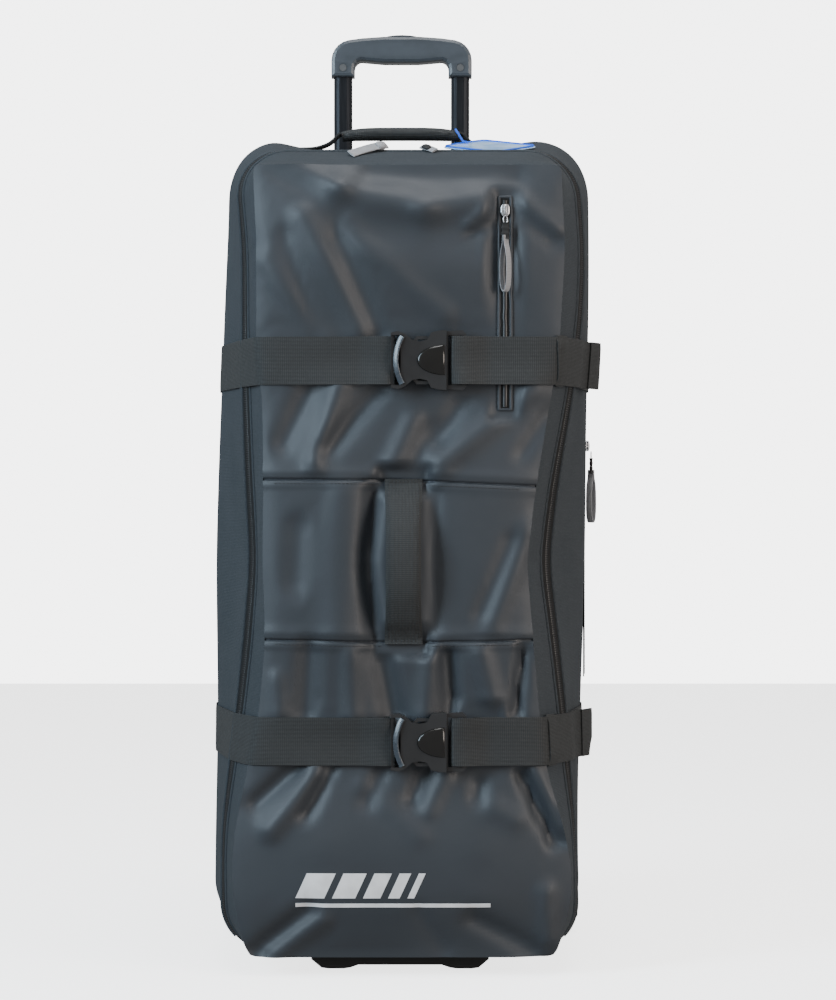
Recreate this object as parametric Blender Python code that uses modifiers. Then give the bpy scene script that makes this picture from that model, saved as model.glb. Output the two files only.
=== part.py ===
"""Wheeled ski bag: a tall duffel on two wheels with a telescopic handle.

Metres. +X is to the right, +Y to the back, +Z up. The origin is under the middle of the bag, on the floor.
"""

import math

import bmesh
import bpy
from mathutils import Matrix, Vector

# Body and lid
GAP = 0.0003
BODY_HALF = 0.2025
BODY_LOW, BODY_HIGH = 0.022, 0.885
BODY_CORNER = 0.055
WALL = 0.004
ZIP_FRONT_Y, ZIP_Y = -0.113, -0.100
FULL_Y, BACK_BEND_Y, BACK_Y = 0.015, 0.172, 0.180
BACK_INSET = 0.008
LID_HIGH = 0.861
LID_CORNER = 0.050
LID_WALL = 0.003
PANEL_Y, GUSSET_Y = -0.157, -0.154
PANEL_LOW, PANEL_HIGH, PANEL_CORNER = 0.023, 0.844, 0.030
# Half-widths of the waisted outlines, as (height, half-width), eased from one to the next.
PANEL_WIDTHS = ((0.02, 0.171), (0.121, 0.176), (0.30, 0.145), (0.431, 0.137), (0.72, 0.163), (0.86, 0.160))
ZIP_WIDTHS = ((0.02, 0.184), (0.13, 0.186), (0.261, 0.170), (0.431, 0.151), (0.70, 0.176), (0.88, 0.179))

# Boards inside
BACK_BOARD_Y, BOARD = 0.1405, 0.003
BACK_BOARD_HALF, BACK_BOARD_Z = 0.150, (0.115, 0.845)
BASE_BOARD_HALF, BASE_BOARD_Y = 0.138, (-0.085, 0.160)

# How far a cutter reaches past the surface it cuts
PAST = 0.02

# Webbing
WEB = 0.002
STRAP_HALF = 0.025
STRAP_HEIGHTS = {"upper": 0.6406, "lower": 0.2454}
STRAP_BACK_Y = 0.115
STRAP_SLACK = 0.003
LAYER = 0.003
TAIL_END = (0.2105, -0.062)
KEEPER_LENGTH, KEEPER_START = 0.016, 0.012

# Buckles. Lengths along X are measured from the socket's mouth.
MOUTH_X = 0.0485
BUCKLE_Y = -0.1665
SOCKET_HALF_DEPTH = 0.006
CHANNEL_HALF_HEIGHT, CHANNEL_HALF_DEPTH, CHANNEL_LENGTH = 0.0255, 0.003, 0.0440
BAR_FROM, BAR_TO, SLOT_TO = -0.0575, -0.0535, -0.0475
BAR_HALF_DEPTH, BAR_TURN = 0.002, 0.0040
SOCKET_SHAPE = (
    (-0.0575, 0.0285), (-0.0500, 0.0300), (-0.0430, 0.0270), (-0.0350, 0.0205), (-0.0275, 0.0193),
    (-0.0200, 0.0210), (-0.0160, 0.0285), (-0.0080, 0.0305), (0.0, 0.0310),
)
PLUG_LENGTH, PLUG_HALF_HEIGHT, PLUG_HALF_DEPTH = 0.0205, 0.031, 0.0025
PLUG_SLOTS = ((0.0015, 0.0055), (0.0125, 0.0165))
SLOT_HALF_HEIGHT = 0.0258
PRONG_LENGTH, PRONG_HALF = 0.034, 0.004
ARM_SHAPE = ((-0.0004, 0.0185), (-0.010, 0.0210), (-0.022, 0.0232), (-0.030, 0.0232), (-0.034, 0.0185))
ARM_THICK = 0.0035
ARM_PIVOT = (-0.001, 0.0185)

# Handles and tag
FRONT_HANDLE_X, FRONT_HANDLE_HALF, FRONT_HANDLE_THICK = 0.004, 0.020, 0.003
FRONT_HANDLE_PATH = (
    (-0.1588, 0.331), (-0.1588, 0.350), (-0.1730, 0.367), (-0.1842, 0.392), (-0.1880, 0.430),
    (-0.1842, 0.468), (-0.1730, 0.497), (-0.1588, 0.514), (-0.1588, 0.533),
)
TOP_HANDLE_Y, TOP_HANDLE_AXIS_Z = 0.030, 0.8995
TOP_HANDLE_HALF, TOP_HANDLE_RISE = 0.066, 0.002
TOP_HANDLE_RADII = (0.0055, 0.008)
ANCHOR_LENGTH, ANCHOR_HALF_DEPTH, ANCHOR_TOE = 0.016, 0.008, 0.004
TAG_CENTRE, TAG_SIZE, TAG_THICK, TAG_YAW = (0.096, -0.059), (0.096, 0.058), 0.0024, math.radians(-54)
TAG_PLANE = (0.8925, 0.27, 0.06)
TAG_HOLE, TAG_HOLE_INSET, TAG_CORNER = 0.004, 0.010, 0.008
LOOP_RADIUS, LOOP_CORD, LOOP_X = 0.009, 0.0013, 0.061

# Zippers
TAPE = 0.0018
MAIN_SLIDERS = {"left": -0.004, "right": 0.014}
MAIN_PULLS = {"left": 0.040, "right": 0.017}
SLIDER_LENGTH, SLIDER_WIDTH, SLIDER_HEIGHT, SLIDER_BEVEL = 0.012, 0.009, 0.005, 0.0014
TAB_GAP, TAB_HINGE_LIFT, TAB_HALF_WIDTH, TAB_HALF_THICK, TAB_BEVEL = 0.0015, 0.0075, 0.0045, 0.001, 0.0004
TAPE_LIFT, TAPE_HALF = 0.0012, 0.0007
POCKET_X, POCKET_LOW, POCKET_HIGH, POCKET_HALF = 0.1095, 0.590, 0.811, 0.0072
POCKET_SLIDER_Z = 0.797
SIDE_ZIP_Y, SIDE_ZIP_HALF, SIDE_ZIP_LOW, SIDE_ZIP_HIGH = 0.025, 0.0065, 0.300, 0.570
SIDE_SLIDER_Z = 0.556
PULL_LENGTH, PULL_HALF_WIDTH, PULL_WEB, PULL_LOOP, PULL_CLEARANCE = 0.078, 0.0055, 0.0015, 0.0026, 0.0021

# Trolley
TUBE_X, TUBE_Y = 0.068, 0.154
OUTER_TUBE, OUTER_WALL, OUTER_LOW, OUTER_HIGH = (0.0255, 0.0175), 0.0015, 0.060, 0.868
INNER_TUBE, INNER_WALL, INNER_LOW = (0.0215, 0.0130), 0.0012, 0.420
ROD_RADIUS, ROD_LOW = 0.0025, 0.440
GRIP_HALF, GRIP_LOW, GRIP_SHOULDER, GRIP_CROWN, GRIP_HALF_DEPTH = 0.0815, 0.987, 1.030, 1.034, 0.012
GRIP_LEG, GRIP_UNDER, GRIP_BEVEL = 0.027, 1.0055, 0.004
GRIP_CORNER, GRIP_INNER_CORNER, GRIP_SAG = 0.024, 0.009, 0.0025
SOCKET_DEPTH = 0.018
CHANNEL_LOW, CHANNEL_HIGH, GRIP_CHANNEL_HALF_Y = 1.0135, 1.0235, 0.0045
ROD_CHANNEL_HALF = 0.0045
BUTTON_HALF, BUTTON_TRAVEL, BUTTON_SLOT_HALF_Y = 0.017, 0.0035, 0.0060
BUTTON_CROWN, BUTTON_CROWN_RADIUS, BUTTON_CROWN_TURN = 0.0022, 0.10, 9.6
SCREW_RADIUS, SCREW_DEPTH, SCREW_HEIGHT = 0.0042, 0.0016, 0.010
BEZEL_HALF, BEZEL_DEPTH, BEZEL_FLANGE, BEZEL_CORNER = (0.095, 0.016), 0.013, 0.003, 0.004
BRACKET_HALF, BRACKET_HEIGHT = (0.088, 0.012), 0.014

# Wheels, foot and skid
WHEEL_X, WHEEL_Y, WHEEL_RADIUS = 0.169, 0.148, 0.040
TYRE_HALF, TYRE_INNER, HUB_HALF, HUB_BORE, AXLE_RADIUS = 0.014, 0.029, 0.0115, 0.0034, 0.003
HOUSING_X, HOUSING_Y, HOUSING_Z = (0.142, 0.2015), (0.100, 0.184), (0.020, 0.105)
HOUSING_CORNERS, HOUSING_BEVEL = (0.030, 0.010), 0.0025
WELL_RADIUS, WELL_X = 0.046, (0.150, 0.188)
FOOT_HALF, FOOT_Y, FOOT_BASE = 0.094, (-0.108, -0.068), 0.004
FOOT_BUMP_X, FOOT_BUMP_HALF, FOOT_SOLE_HALF = 0.068, 0.024, 0.008
SKID_X, SKID_HALF, SKID_Z, SKID_BAR_Z = 0.120, 0.006, (0.125, 0.560), (0.330, 0.342)

# Rotations that stand a flat outline up. Its local X runs along world X (FRONT) or Y (SIDE), its local Y along Z.
FRONT = (math.pi / 2, 0, 0)
SIDE = (math.pi / 2, 0, math.pi / 2)
FLAT = (0, 0, 0)
ROUND_STEPS = 32


def clear_scene():
    for obj in list(bpy.data.objects):
        bpy.data.objects.remove(obj, do_unlink=True)


def new_collection(name):
    collection = bpy.data.collections.new(name)
    bpy.context.scene.collection.children.link(collection)
    return collection


def material(name, color, roughness, metallic=0.0):
    made = bpy.data.materials.new(name)
    made.use_nodes = True
    shader = made.node_tree.nodes["Principled BSDF"]
    shader.inputs["Base Color"].default_value = (*color, 1.0)
    shader.inputs["Roughness"].default_value = roughness
    shader.inputs["Metallic"].default_value = metallic
    return made


# ---------------------------------------------------------------- helpers that make solids


def add(obj, look):
    PARTS.objects.link(obj)
    obj.data.materials.append(look)
    return obj


def add_cutter(obj):
    CUTTERS.objects.link(obj)
    obj.hide_render = True
    obj.display_type = "WIRE"
    return obj


def cut(obj, cutter):
    modifier = obj.modifiers.new(cutter.name, "BOOLEAN")
    modifier.operation = "DIFFERENCE"
    modifier.solver = "EXACT"
    modifier.object = cutter
    return obj


def bmesh_object(name, work):
    mesh = bpy.data.meshes.new(name)
    bmesh.ops.recalc_face_normals(work, faces=work.faces)
    work.to_mesh(mesh)
    work.free()
    return bpy.data.objects.new(name, mesh)


def box(name, low, high, bevel=0.0):
    """A box between two corners, with its upright and level edges rounded when bevel is set."""
    work = bmesh.new()
    bmesh.ops.create_cube(work, size=1.0)
    size = Vector(high) - Vector(low)
    middle = (Vector(high) + Vector(low)) / 2
    bmesh.ops.scale(work, vec=size, verts=work.verts)
    obj = bmesh_object(name, work)
    obj.location = middle
    if bevel:
        modifier = obj.modifiers.new("edges", "BEVEL")
        modifier.width = bevel
        modifier.segments = 2
    return obj


def cylinder(name, radius, length, centre, rotation=FLAT, steps=ROUND_STEPS):
    work = bmesh.new()
    bmesh.ops.create_cone(
        work, cap_ends=True, segments=steps, radius1=radius, radius2=radius, depth=length
    )
    obj = bmesh_object(name, work)
    obj.location = centre
    obj.rotation_euler = rotation
    return obj


def turned(name, profile, centre, rotation):
    """A closed (radius, height) profile turned round its local Z."""
    mesh = bpy.data.meshes.new(name)
    edges = [(i, (i + 1) % len(profile)) for i in range(len(profile))]
    mesh.from_pydata([(radius, 0, height) for radius, height in profile], edges, [])
    obj = bpy.data.objects.new(name, mesh)
    obj.location = centre
    obj.rotation_euler = rotation
    screw = obj.modifiers.new("turn", "SCREW")
    screw.steps = screw.render_steps = ROUND_STEPS
    screw.use_merge_vertices = True
    screw.merge_threshold = 0.0001
    return obj


def loft(name, rings, joined_ends=False):
    """Faces between rings of equally many points; the ends are capped, or joined to make a closed tube."""
    work = bmesh.new()
    made = [[work.verts.new(point) for point in ring] for ring in rings]
    pairs = list(zip(made, made[1:]))
    if joined_ends:
        pairs.append((made[-1], made[0]))
    else:
        work.faces.new(made[0])
        work.faces.new(made[-1])
    for first, second in pairs:
        for i in range(len(first)):
            j = (i + 1) % len(first)
            work.faces.new((first[i], first[j], second[j], second[i]))
    return bmesh_object(name, work)


def plate(name, outlines, half_depth, rotation, centre, bevel=0.0):
    """Flat outlines, the later ones holes in the first, extruded both ways along their normal."""
    curve = bpy.data.curves.new(name, "CURVE")
    curve.dimensions = "2D"
    curve.fill_mode = "BOTH"
    curve.extrude = half_depth - bevel
    curve.bevel_depth = bevel
    curve.bevel_resolution = 1
    curve.offset = -bevel
    for outline in outlines:
        spline = curve.splines.new("POLY")
        spline.points.add(len(outline) - 1)
        for point, (x, y) in zip(spline.points, outline):
            point.co = (x, y, 0, 1)
        spline.use_cyclic_u = True
    obj = bpy.data.objects.new(name, curve)
    obj.rotation_euler = rotation
    obj.location = centre
    return obj


def tube(name, points, radius, radii=None, cyclic=False):
    curve = bpy.data.curves.new(name, "CURVE")
    curve.dimensions = "3D"
    curve.bevel_depth = radius
    curve.bevel_resolution = 2
    curve.use_fill_caps = not cyclic
    spline = curve.splines.new("POLY")
    spline.points.add(len(points) - 1)
    for i, (point, place) in enumerate(zip(spline.points, points)):
        point.co = (*place, 1)
        point.radius = radii[i] if radii else 1.0
    spline.use_cyclic_u = cyclic
    return bpy.data.objects.new(name, curve)


def as_mesh(obj):
    """The curve object turned into a mesh object with its caps welded, so that it can be cut."""
    CUTTERS.objects.link(obj)
    bpy.context.view_layer.update()
    mesh = bpy.data.meshes.new_from_object(obj.evaluated_get(bpy.context.evaluated_depsgraph_get()))
    work = bmesh.new()
    work.from_mesh(mesh)
    bmesh.ops.remove_doubles(work, verts=work.verts, dist=1e-5)
    bmesh.ops.recalc_face_normals(work, faces=work.faces)
    work.to_mesh(mesh)
    work.free()
    name, matrix = obj.name, obj.matrix_world.copy()
    bpy.data.objects.remove(obj, do_unlink=True)
    solid = bpy.data.objects.new(name, mesh)
    solid.name = name
    solid.matrix_world = matrix
    return solid


def pivot(name, place, *children):
    """An empty on a joint's axis, with the pieces that turn or slide about it as its children."""
    empty = bpy.data.objects.new(name, None)
    empty.empty_display_size = 0.02
    empty.location = place
    PARTS.objects.link(empty)
    for child in children:
        child.parent = empty
        child.matrix_parent_inverse = Matrix.Translation(-Vector(place))
    return empty


# ---------------------------------------------------------------- outlines


def eased(height, knots):
    """The half-width at a height, eased from one knot to the next."""
    for (z0, w0), (z1, w1) in zip(knots, knots[1:]):
        if height <= z1:
            t = min(1.0, max(0.0, (height - z0) / (z1 - z0)))
            return w0 + (w1 - w0) * t * t * (3 - 2 * t)
    return knots[-1][1]


def arc(x, y, radius, start, end, steps):
    """Points on an arc, angles in degrees."""
    angles = [math.radians(start + (end - start) * i / steps) for i in range(steps + 1)]
    return [(x + radius * math.cos(a), y + radius * math.sin(a)) for a in angles]


def waisted(width, low, high, low_corner, high_corner, side_steps=12, corner_steps=4):
    """A closed (x, z) outline whose half-width is a function of height, anticlockwise from the lower right."""
    bottom, top = low + low_corner, high - high_corner
    heights = [bottom + (top - bottom) * i / side_steps for i in range(side_steps + 1)]
    right = arc(width(bottom) - low_corner, bottom, low_corner, -90, 0, corner_steps)[:-1]
    right += [(width(z), z) for z in heights]
    right += arc(width(top) - high_corner, top, high_corner, 0, 90, corner_steps)[1:]
    return right + [(-x, z) for x, z in reversed(right)]


def ring_at(y, blend, inset):
    """A ring of the body at depth y: the lid's outline (blend 0) to the full one (blend 1), moved in by inset."""
    def width(z):
        narrow = eased(z, ZIP_WIDTHS)
        return narrow + (BODY_HALF - narrow) * blend - inset

    high = LID_HIGH + (BODY_HIGH - LID_HIGH) * blend - inset
    corner = LID_CORNER + (BODY_CORNER - LID_CORNER) * blend - inset
    return [(x, y, z) for x, z in waisted(width, BODY_LOW + inset, high, corner, corner)]


def offset_path(points, distance):
    """The open path moved to its right by distance, mitred at its corners."""
    points = [Vector(p) for p in points]
    ways = [(b - a).normalized() for a, b in zip(points, points[1:])]
    moved = []
    for i, point in enumerate(points):
        before, after = ways[max(0, i - 1)], ways[min(i, len(ways) - 1)]
        bisector = (before + after).normalized()
        across = Vector((bisector.y, -bisector.x))
        moved.append(point + across * distance / max(0.4, bisector.dot(after)))
    return moved


def ribbon(path, thickness):
    """The closed outline of a band of the given thickness along a path."""
    half = thickness / 2
    return [tuple(p) for p in offset_path(path, half) + offset_path(path, -half)[::-1]]


def oval(size, inset=0.0, steps=6):
    """A flat-sided oval, rounded at its X ends."""
    radius = size[1] / 2 - inset
    reach = size[0] / 2 - size[1] / 2
    return arc(reach, 0, radius, -90, 90, steps) + arc(-reach, 0, radius, 90, 270, steps)


def rectangle(x0, x1, y0, y1):
    return [(x0, y0), (x1, y0), (x1, y1), (x0, y1)]


def rounded(x0, x1, y0, y1, radius, steps=3):
    return (
        arc(x1 - radius, y0 + radius, radius, -90, 0, steps)
        + arc(x1 - radius, y1 - radius, radius, 0, 90, steps)
        + arc(x0 + radius, y1 - radius, radius, 90, 180, steps)
        + arc(x0 + radius, y0 + radius, radius, 180, 270, steps)
    )


# ---------------------------------------------------------------- body and lid


def body_shell():
    """The fabric case: open at the front, with the back edges drawn in, cut for the wheels and the bezel."""
    stations = ((ZIP_Y, 0.0, 0.0), (-0.06, 0.40, 0.0), (FULL_Y, 1.0, 0.0), (BACK_BEND_Y, 1.0, 0.0))
    outer = [ring_at(y, blend, inset) for y, blend, inset in stations]
    outer.append(ring_at(BACK_Y, 1.0, BACK_INSET))
    inner = [ring_at(y, blend, inset + WALL) for y, blend, inset in stations]
    inner.append(ring_at(BACK_Y - WALL, 1.0, BACK_INSET + WALL))
    shell = loft("body_shell", inner[::-1] + outer)
    for side in (-1, 1):
        xs = sorted((side * (HOUSING_X[0] - GAP), side * (BODY_HALF + PAST)))
        low = (xs[0], HOUSING_Y[0] - GAP, 0.0)
        high = (xs[1], BACK_Y + PAST, HOUSING_Z[1] + GAP)
        cut(shell, add_cutter(box(f"cutter_housing_{side}", low, high)))
    x, y = BEZEL_HALF[0] + GAP, BEZEL_HALF[1] + GAP
    low = (-x, TUBE_Y - y, BODY_HIGH - PAST)
    cut(shell, add_cutter(box("cutter_bezel", low, (x, TUBE_Y + y, BODY_HIGH + PAST))))
    add(shell, FABRIC)


def lid():
    def zip_width(z):
        return eased(z, ZIP_WIDTHS)

    def panel_width(z):
        return eased(z, PANEL_WIDTHS)

    panel_outline = waisted(panel_width, PANEL_LOW, PANEL_HIGH, PANEL_CORNER, PANEL_CORNER)
    welt = rectangle(
        POCKET_X - POCKET_HALF - GAP, POCKET_X + POCKET_HALF + GAP, POCKET_LOW - GAP, POCKET_HIGH + GAP
    )
    half = (GUSSET_Y - GAP - PANEL_Y) / 2
    add(plate("lid_front_panel", [panel_outline, welt], half, FRONT, (0, PANEL_Y + half, 0)), NYLON)

    def ring(width, y, inset, low, high, corner):
        return [(x, y, z) for x, z in waisted(
            lambda h: width(h) - inset, low + inset, high - inset, corner - inset, corner - inset)]

    front = [ring(panel_width, GUSSET_Y, i, PANEL_LOW, PANEL_HIGH, PANEL_CORNER) for i in (0, LID_WALL)]
    back_y = ZIP_FRONT_Y - GAP
    back = [ring(zip_width, back_y, i, BODY_LOW, LID_HIGH, LID_CORNER) for i in (0, LID_WALL)]
    add(loft("lid_gusset", [front[0], back[0], back[1], front[1]], joined_ends=True), FABRIC)

    # The tape's lowest stretch is the fabric hinge that the lid folds on.
    edges = ((ZIP_FRONT_Y, 0), (ZIP_Y - GAP, 0), (ZIP_Y - GAP, TAPE), (ZIP_FRONT_Y, TAPE))
    rings = [ring(zip_width, y, inset, BODY_LOW, LID_HIGH, LID_CORNER) for y, inset in edges]
    add(loft("main_zipper_tape", rings, joined_ends=True), TAPE_BLACK)


def boards():
    low = (-BACK_BOARD_HALF, BACK_BOARD_Y, BACK_BOARD_Z[0])
    high = (BACK_BOARD_HALF, BACK_BOARD_Y + BOARD, BACK_BOARD_Z[1])
    add(box("back_board", low, high), BOARD_GREY)
    z = BODY_LOW + WALL + GAP
    low = (-BASE_BOARD_HALF, BASE_BOARD_Y[0], z)
    add(box("base_board", low, (BASE_BOARD_HALF, BASE_BOARD_Y[1], z + BOARD)), BOARD_GREY)


# ---------------------------------------------------------------- zippers


def slider(name, centre, rotation):
    """A slider body: domed box, longest along its local X, standing on its local -Z face."""
    half = Vector((SLIDER_LENGTH, SLIDER_WIDTH, SLIDER_HEIGHT)) / 2
    obj = box(name, -half, half, bevel=SLIDER_BEVEL)
    obj.location = centre
    obj.rotation_euler = rotation
    return add(obj, METAL)


def main_zipper():
    z = LID_HIGH + GAP + SLIDER_HEIGHT / 2
    y = (ZIP_FRONT_Y + ZIP_Y) / 2
    for side, sign in (("left", -1), ("right", 1)):
        x = MAIN_SLIDERS[side]
        body = slider(f"main_zipper_slider_{side}", (x, y, z), FLAT)
        pivot(f"axis_main_slider_{side}", (x, y, z), body)
        start = x + sign * (SLIDER_LENGTH / 2 + TAB_GAP)
        hinge = (start, y, LID_HIGH + TAB_HINGE_LIFT)
        reach = sign * MAIN_PULLS[side]
        xs = sorted((start + sign * 2 * GAP, start + reach))
        low = (xs[0], -TAB_HALF_WIDTH, -TAB_HALF_THICK)
        high = (xs[1], TAB_HALF_WIDTH, TAB_HALF_THICK)
        tab = box(f"main_zipper_pull_{side}", low, high, bevel=TAB_BEVEL)
        tab.location = ((xs[0] + xs[1]) / 2, hinge[1], hinge[2])
        tab.rotation_euler = (math.radians(40), 0, 0)
        add(tab, PULL_GREY)
        pivot(f"axis_main_pull_{side}", hinge, tab)


def loop_pull(name, plane, centre, hinge_z, look):
    """A webbing pull folded into a long loop, hanging from its hinge; its path lies in the plane given."""
    top = hinge_z - 0.0005
    low = hinge_z - PULL_LENGTH
    near, far = -PULL_LOOP, PULL_LOOP
    path = [(-0.0009, top), (-0.0009, top - 0.014), (near, top - 0.030), (near, low + PULL_LOOP)]
    path += arc(0, low + PULL_LOOP, PULL_LOOP, 180, 360, 6)[1:]
    path += [(far, top - 0.030), (0.0009, top - 0.014), (0.0009, top)]
    return add(plate(name, [ribbon(path, PULL_WEB)], PULL_HALF_WIDTH, plane, centre), look)


def pocket_zipper():
    tape_y = PANEL_Y + TAPE_LIFT
    low = (POCKET_X - POCKET_HALF, tape_y - TAPE_HALF, POCKET_LOW)
    high = (POCKET_X + POCKET_HALF, tape_y + TAPE_HALF, POCKET_HIGH)
    add(box("pocket_zipper_tape", low, high), TAPE_BLACK)
    y = PANEL_Y - GAP - SLIDER_HEIGHT / 2
    turn = (0, math.pi / 2, math.pi / 2)
    body = slider("pocket_zipper_slider", (POCKET_X, y, POCKET_SLIDER_Z), turn)
    pivot("axis_pocket_slider", (POCKET_X, y, POCKET_SLIDER_Z), body)
    hinge = (POCKET_X, y - SLIDER_HEIGHT / 2 - PULL_CLEARANCE, POCKET_SLIDER_Z - SLIDER_LENGTH / 2)
    pull = loop_pull("pocket_zipper_pull", SIDE, (POCKET_X, hinge[1], 0), hinge[2], PULL_GREY)
    pivot("axis_pocket_pull", hinge, pull)


def side_zipper():
    x = BODY_HALF + GAP
    low = (x, SIDE_ZIP_Y - SIDE_ZIP_HALF, SIDE_ZIP_LOW)
    high = (x + TAPE_LIFT, SIDE_ZIP_Y + SIDE_ZIP_HALF, SIDE_ZIP_HIGH)
    add(box("side_zipper_tape", low, high), TAPE_BLACK)
    middle = x + TAPE_LIFT + GAP + SLIDER_HEIGHT / 2
    body = slider("side_zipper_slider", (middle, SIDE_ZIP_Y, SIDE_SLIDER_Z), (0, math.pi / 2, 0))
    pivot("axis_side_slider", (middle, SIDE_ZIP_Y, SIDE_SLIDER_Z), body)
    hinge = (middle + SLIDER_HEIGHT / 2 + PULL_CLEARANCE, SIDE_ZIP_Y, SIDE_SLIDER_Z - SLIDER_LENGTH / 2)
    pull = loop_pull("side_zipper_pull", FRONT, (hinge[0], SIDE_ZIP_Y, 0), hinge[2], PULL_GREY)
    pivot("axis_side_pull", hinge, pull)


# ---------------------------------------------------------------- straps and buckles


def strap_line(height):
    """The right half of a taut strap's line at a height: the convex outline of the bag there, (x, y) from the front."""
    levels = (height - STRAP_HALF, height, height + STRAP_HALF)
    panel = max(eased(z, PANEL_WIDTHS) for z in levels) + STRAP_SLACK
    narrow = max(eased(z, ZIP_WIDTHS) for z in levels) + STRAP_SLACK
    points = [(0.0, PANEL_Y), (panel, PANEL_Y), (narrow, ZIP_FRONT_Y), (narrow, ZIP_Y)]
    points += [(narrow + (BODY_HALF - narrow) * 0.40, -0.06), (BODY_HALF, FULL_Y), (BODY_HALF, STRAP_BACK_Y)]
    line = []
    for point in map(Vector, points):
        while len(line) > 1 and (line[-1] - line[-2]).cross(point - line[-1]) < 1e-7:
            line.pop()
        line.append(point)
    return line


def band(name, path, height, look):
    return add(plate(name, [ribbon(path, WEB)], STRAP_HALF, FLAT, (0, 0, height)), look)


def left_strap(level, height):
    """Left webbing: from its rear anchor round the front, through the socket's slot and sewn back on itself."""
    line = offset_path(strap_line(height), GAP + WEB / 2)
    side = [(-p.x, p.y) for p in reversed(line[1:])]
    bar = MOUTH_X + (BAR_FROM + BAR_TO) / 2
    path = side + [(bar - 0.030, line[0].y), (bar - 0.004, BUCKLE_Y + BAR_TURN)]
    path += arc(bar, BUCKLE_Y, BAR_TURN, 90, -90, 6)
    path += [(bar - 0.010, BUCKLE_Y - BAR_TURN), (bar - 0.026, line[0].y - LAYER)]
    band(f"{level}_strap_left", path, height, WEBBING)


def right_strap(level, height):
    """Right webbing in two pieces, so that the front one follows the plug: front with the tail, and side."""
    line = offset_path(strap_line(height), GAP + WEB / 2)
    corner, after = line[1], line[2]
    along = (after - corner).normalized()
    slot_1, slot_2 = (MOUTH_X + sum(slot) / 2 for slot in PLUG_SLOTS)
    front_y = BUCKLE_Y - 0.0035
    root = line[0].y
    tail = offset_path(strap_line(height), GAP + WEB / 2 + LAYER)
    path = [(corner.x - 0.002, root), (slot_1 + 0.004, root), (slot_1, root - 0.003), (slot_1, front_y + 0.001)]
    path += [(slot_1 + 0.001, front_y), (slot_2 - 0.001, front_y), (slot_2, front_y + 0.001)]
    path += [(slot_2, root - LAYER - 0.0012), (slot_2 + 0.0018, root - LAYER), (tail[1].x - 0.002, tail[1].y)]
    path += [tuple(tail[1] + along * 0.004), tuple(tail[1] + along * 0.036), TAIL_END]
    front = band(f"{level}_strap_right_front", path, height, WEBBING)
    side = [tuple(corner + along * 0.005)] + [tuple(p) for p in line[2:]]
    band(f"{level}_strap_right_side", side, height, WEBBING)
    return front, corner, along


def keeper(level, height, corner, along):
    """A webbing sleeve over the tail, open towards the bag."""
    outwards = Vector((along.y, -along.x))
    inner, cover = -0.0006, WEB / 2 + LAYER + GAP
    z_in, z_out = STRAP_HALF + GAP, STRAP_HALF + 0.002
    outline = [
        (inner, -z_out), (cover + 0.0015, -z_out), (cover + 0.0015, z_out), (inner, z_out),
        (inner, z_in), (cover, z_in), (cover, -z_in), (inner, -z_in),
    ]
    middle = corner + along * (KEEPER_START + KEEPER_LENGTH / 2)
    rotation = (math.pi / 2, 0, math.atan2(outwards.y, outwards.x))
    place = (middle.x, middle.y, height)
    return add(plate(f"{level}_strap_keeper", [outline], KEEPER_LENGTH / 2, rotation, place), WEBBING)


def buckle(level, height):
    """A side-release buckle: socket on the left, ladder plug with its prong, and two squeezed arms."""
    outline = list(SOCKET_SHAPE) + [(x, -z) for x, z in reversed(SOCKET_SHAPE)]
    slot = rectangle(BAR_TO, SLOT_TO, -SLOT_HALF_HEIGHT, SLOT_HALF_HEIGHT)
    place = (MOUTH_X, BUCKLE_Y, height)
    socket = as_mesh(plate(f"{level}_buckle_socket", [outline, slot], SOCKET_HALF_DEPTH, FRONT, place))
    low = (MOUTH_X - CHANNEL_LENGTH, BUCKLE_Y - CHANNEL_HALF_DEPTH, height - CHANNEL_HALF_HEIGHT)
    high = (MOUTH_X + 0.01, BUCKLE_Y + CHANNEL_HALF_DEPTH, height + CHANNEL_HALF_HEIGHT)
    cut(socket, add_cutter(box(f"cutter_channel_{level}", low, high)))
    for side in (-1, 1):
        near, far = sorted((BUCKLE_Y + side * BAR_HALF_DEPTH, BUCKLE_Y + side * 2 * SOCKET_HALF_DEPTH))
        low = (MOUTH_X + BAR_FROM - 0.001, near, height - SLOT_HALF_HEIGHT)
        high = (MOUTH_X + BAR_TO + 0.0005, far, height + SLOT_HALF_HEIGHT)
        cut(socket, add_cutter(box(f"cutter_bar_{level}_{side}", low, high)))
    add(socket, BUCKLE_BLACK)

    frame = [(GAP, PLUG_HALF_HEIGHT - 0.001), (PLUG_LENGTH - 0.004, PLUG_HALF_HEIGHT),
             (PLUG_LENGTH, PLUG_HALF_HEIGHT - 0.004)]
    prong = [(-PRONG_LENGTH, -PRONG_HALF + 0.001), (-PRONG_LENGTH, PRONG_HALF - 0.001), (GAP, PRONG_HALF)]
    outline = prong + frame + [(x, -z) for x, z in reversed(frame)] + [(GAP, -PRONG_HALF)]
    holes = [rectangle(a, b, -SLOT_HALF_HEIGHT, SLOT_HALF_HEIGHT) for a, b in PLUG_SLOTS]
    plug = add(plate(f"{level}_buckle_plug", [outline] + holes, PLUG_HALF_DEPTH, FRONT, place), BUCKLE_BLACK)

    arms = []
    for name, sign in (("top", 1), ("bottom", -1)):
        path = [(x, z * sign) for x, z in ARM_SHAPE]
        arm = plate(f"{level}_buckle_arm_{name}", [ribbon(path, ARM_THICK)], PLUG_HALF_DEPTH, FRONT, place)
        add(arm, BUCKLE_BLACK)
        hinge = (MOUTH_X + ARM_PIVOT[0], BUCKLE_Y, height + sign * ARM_PIVOT[1])
        arms.append(pivot(f"axis_{level}_arm_{name}", hinge, arm))
    return plug, arms


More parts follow.
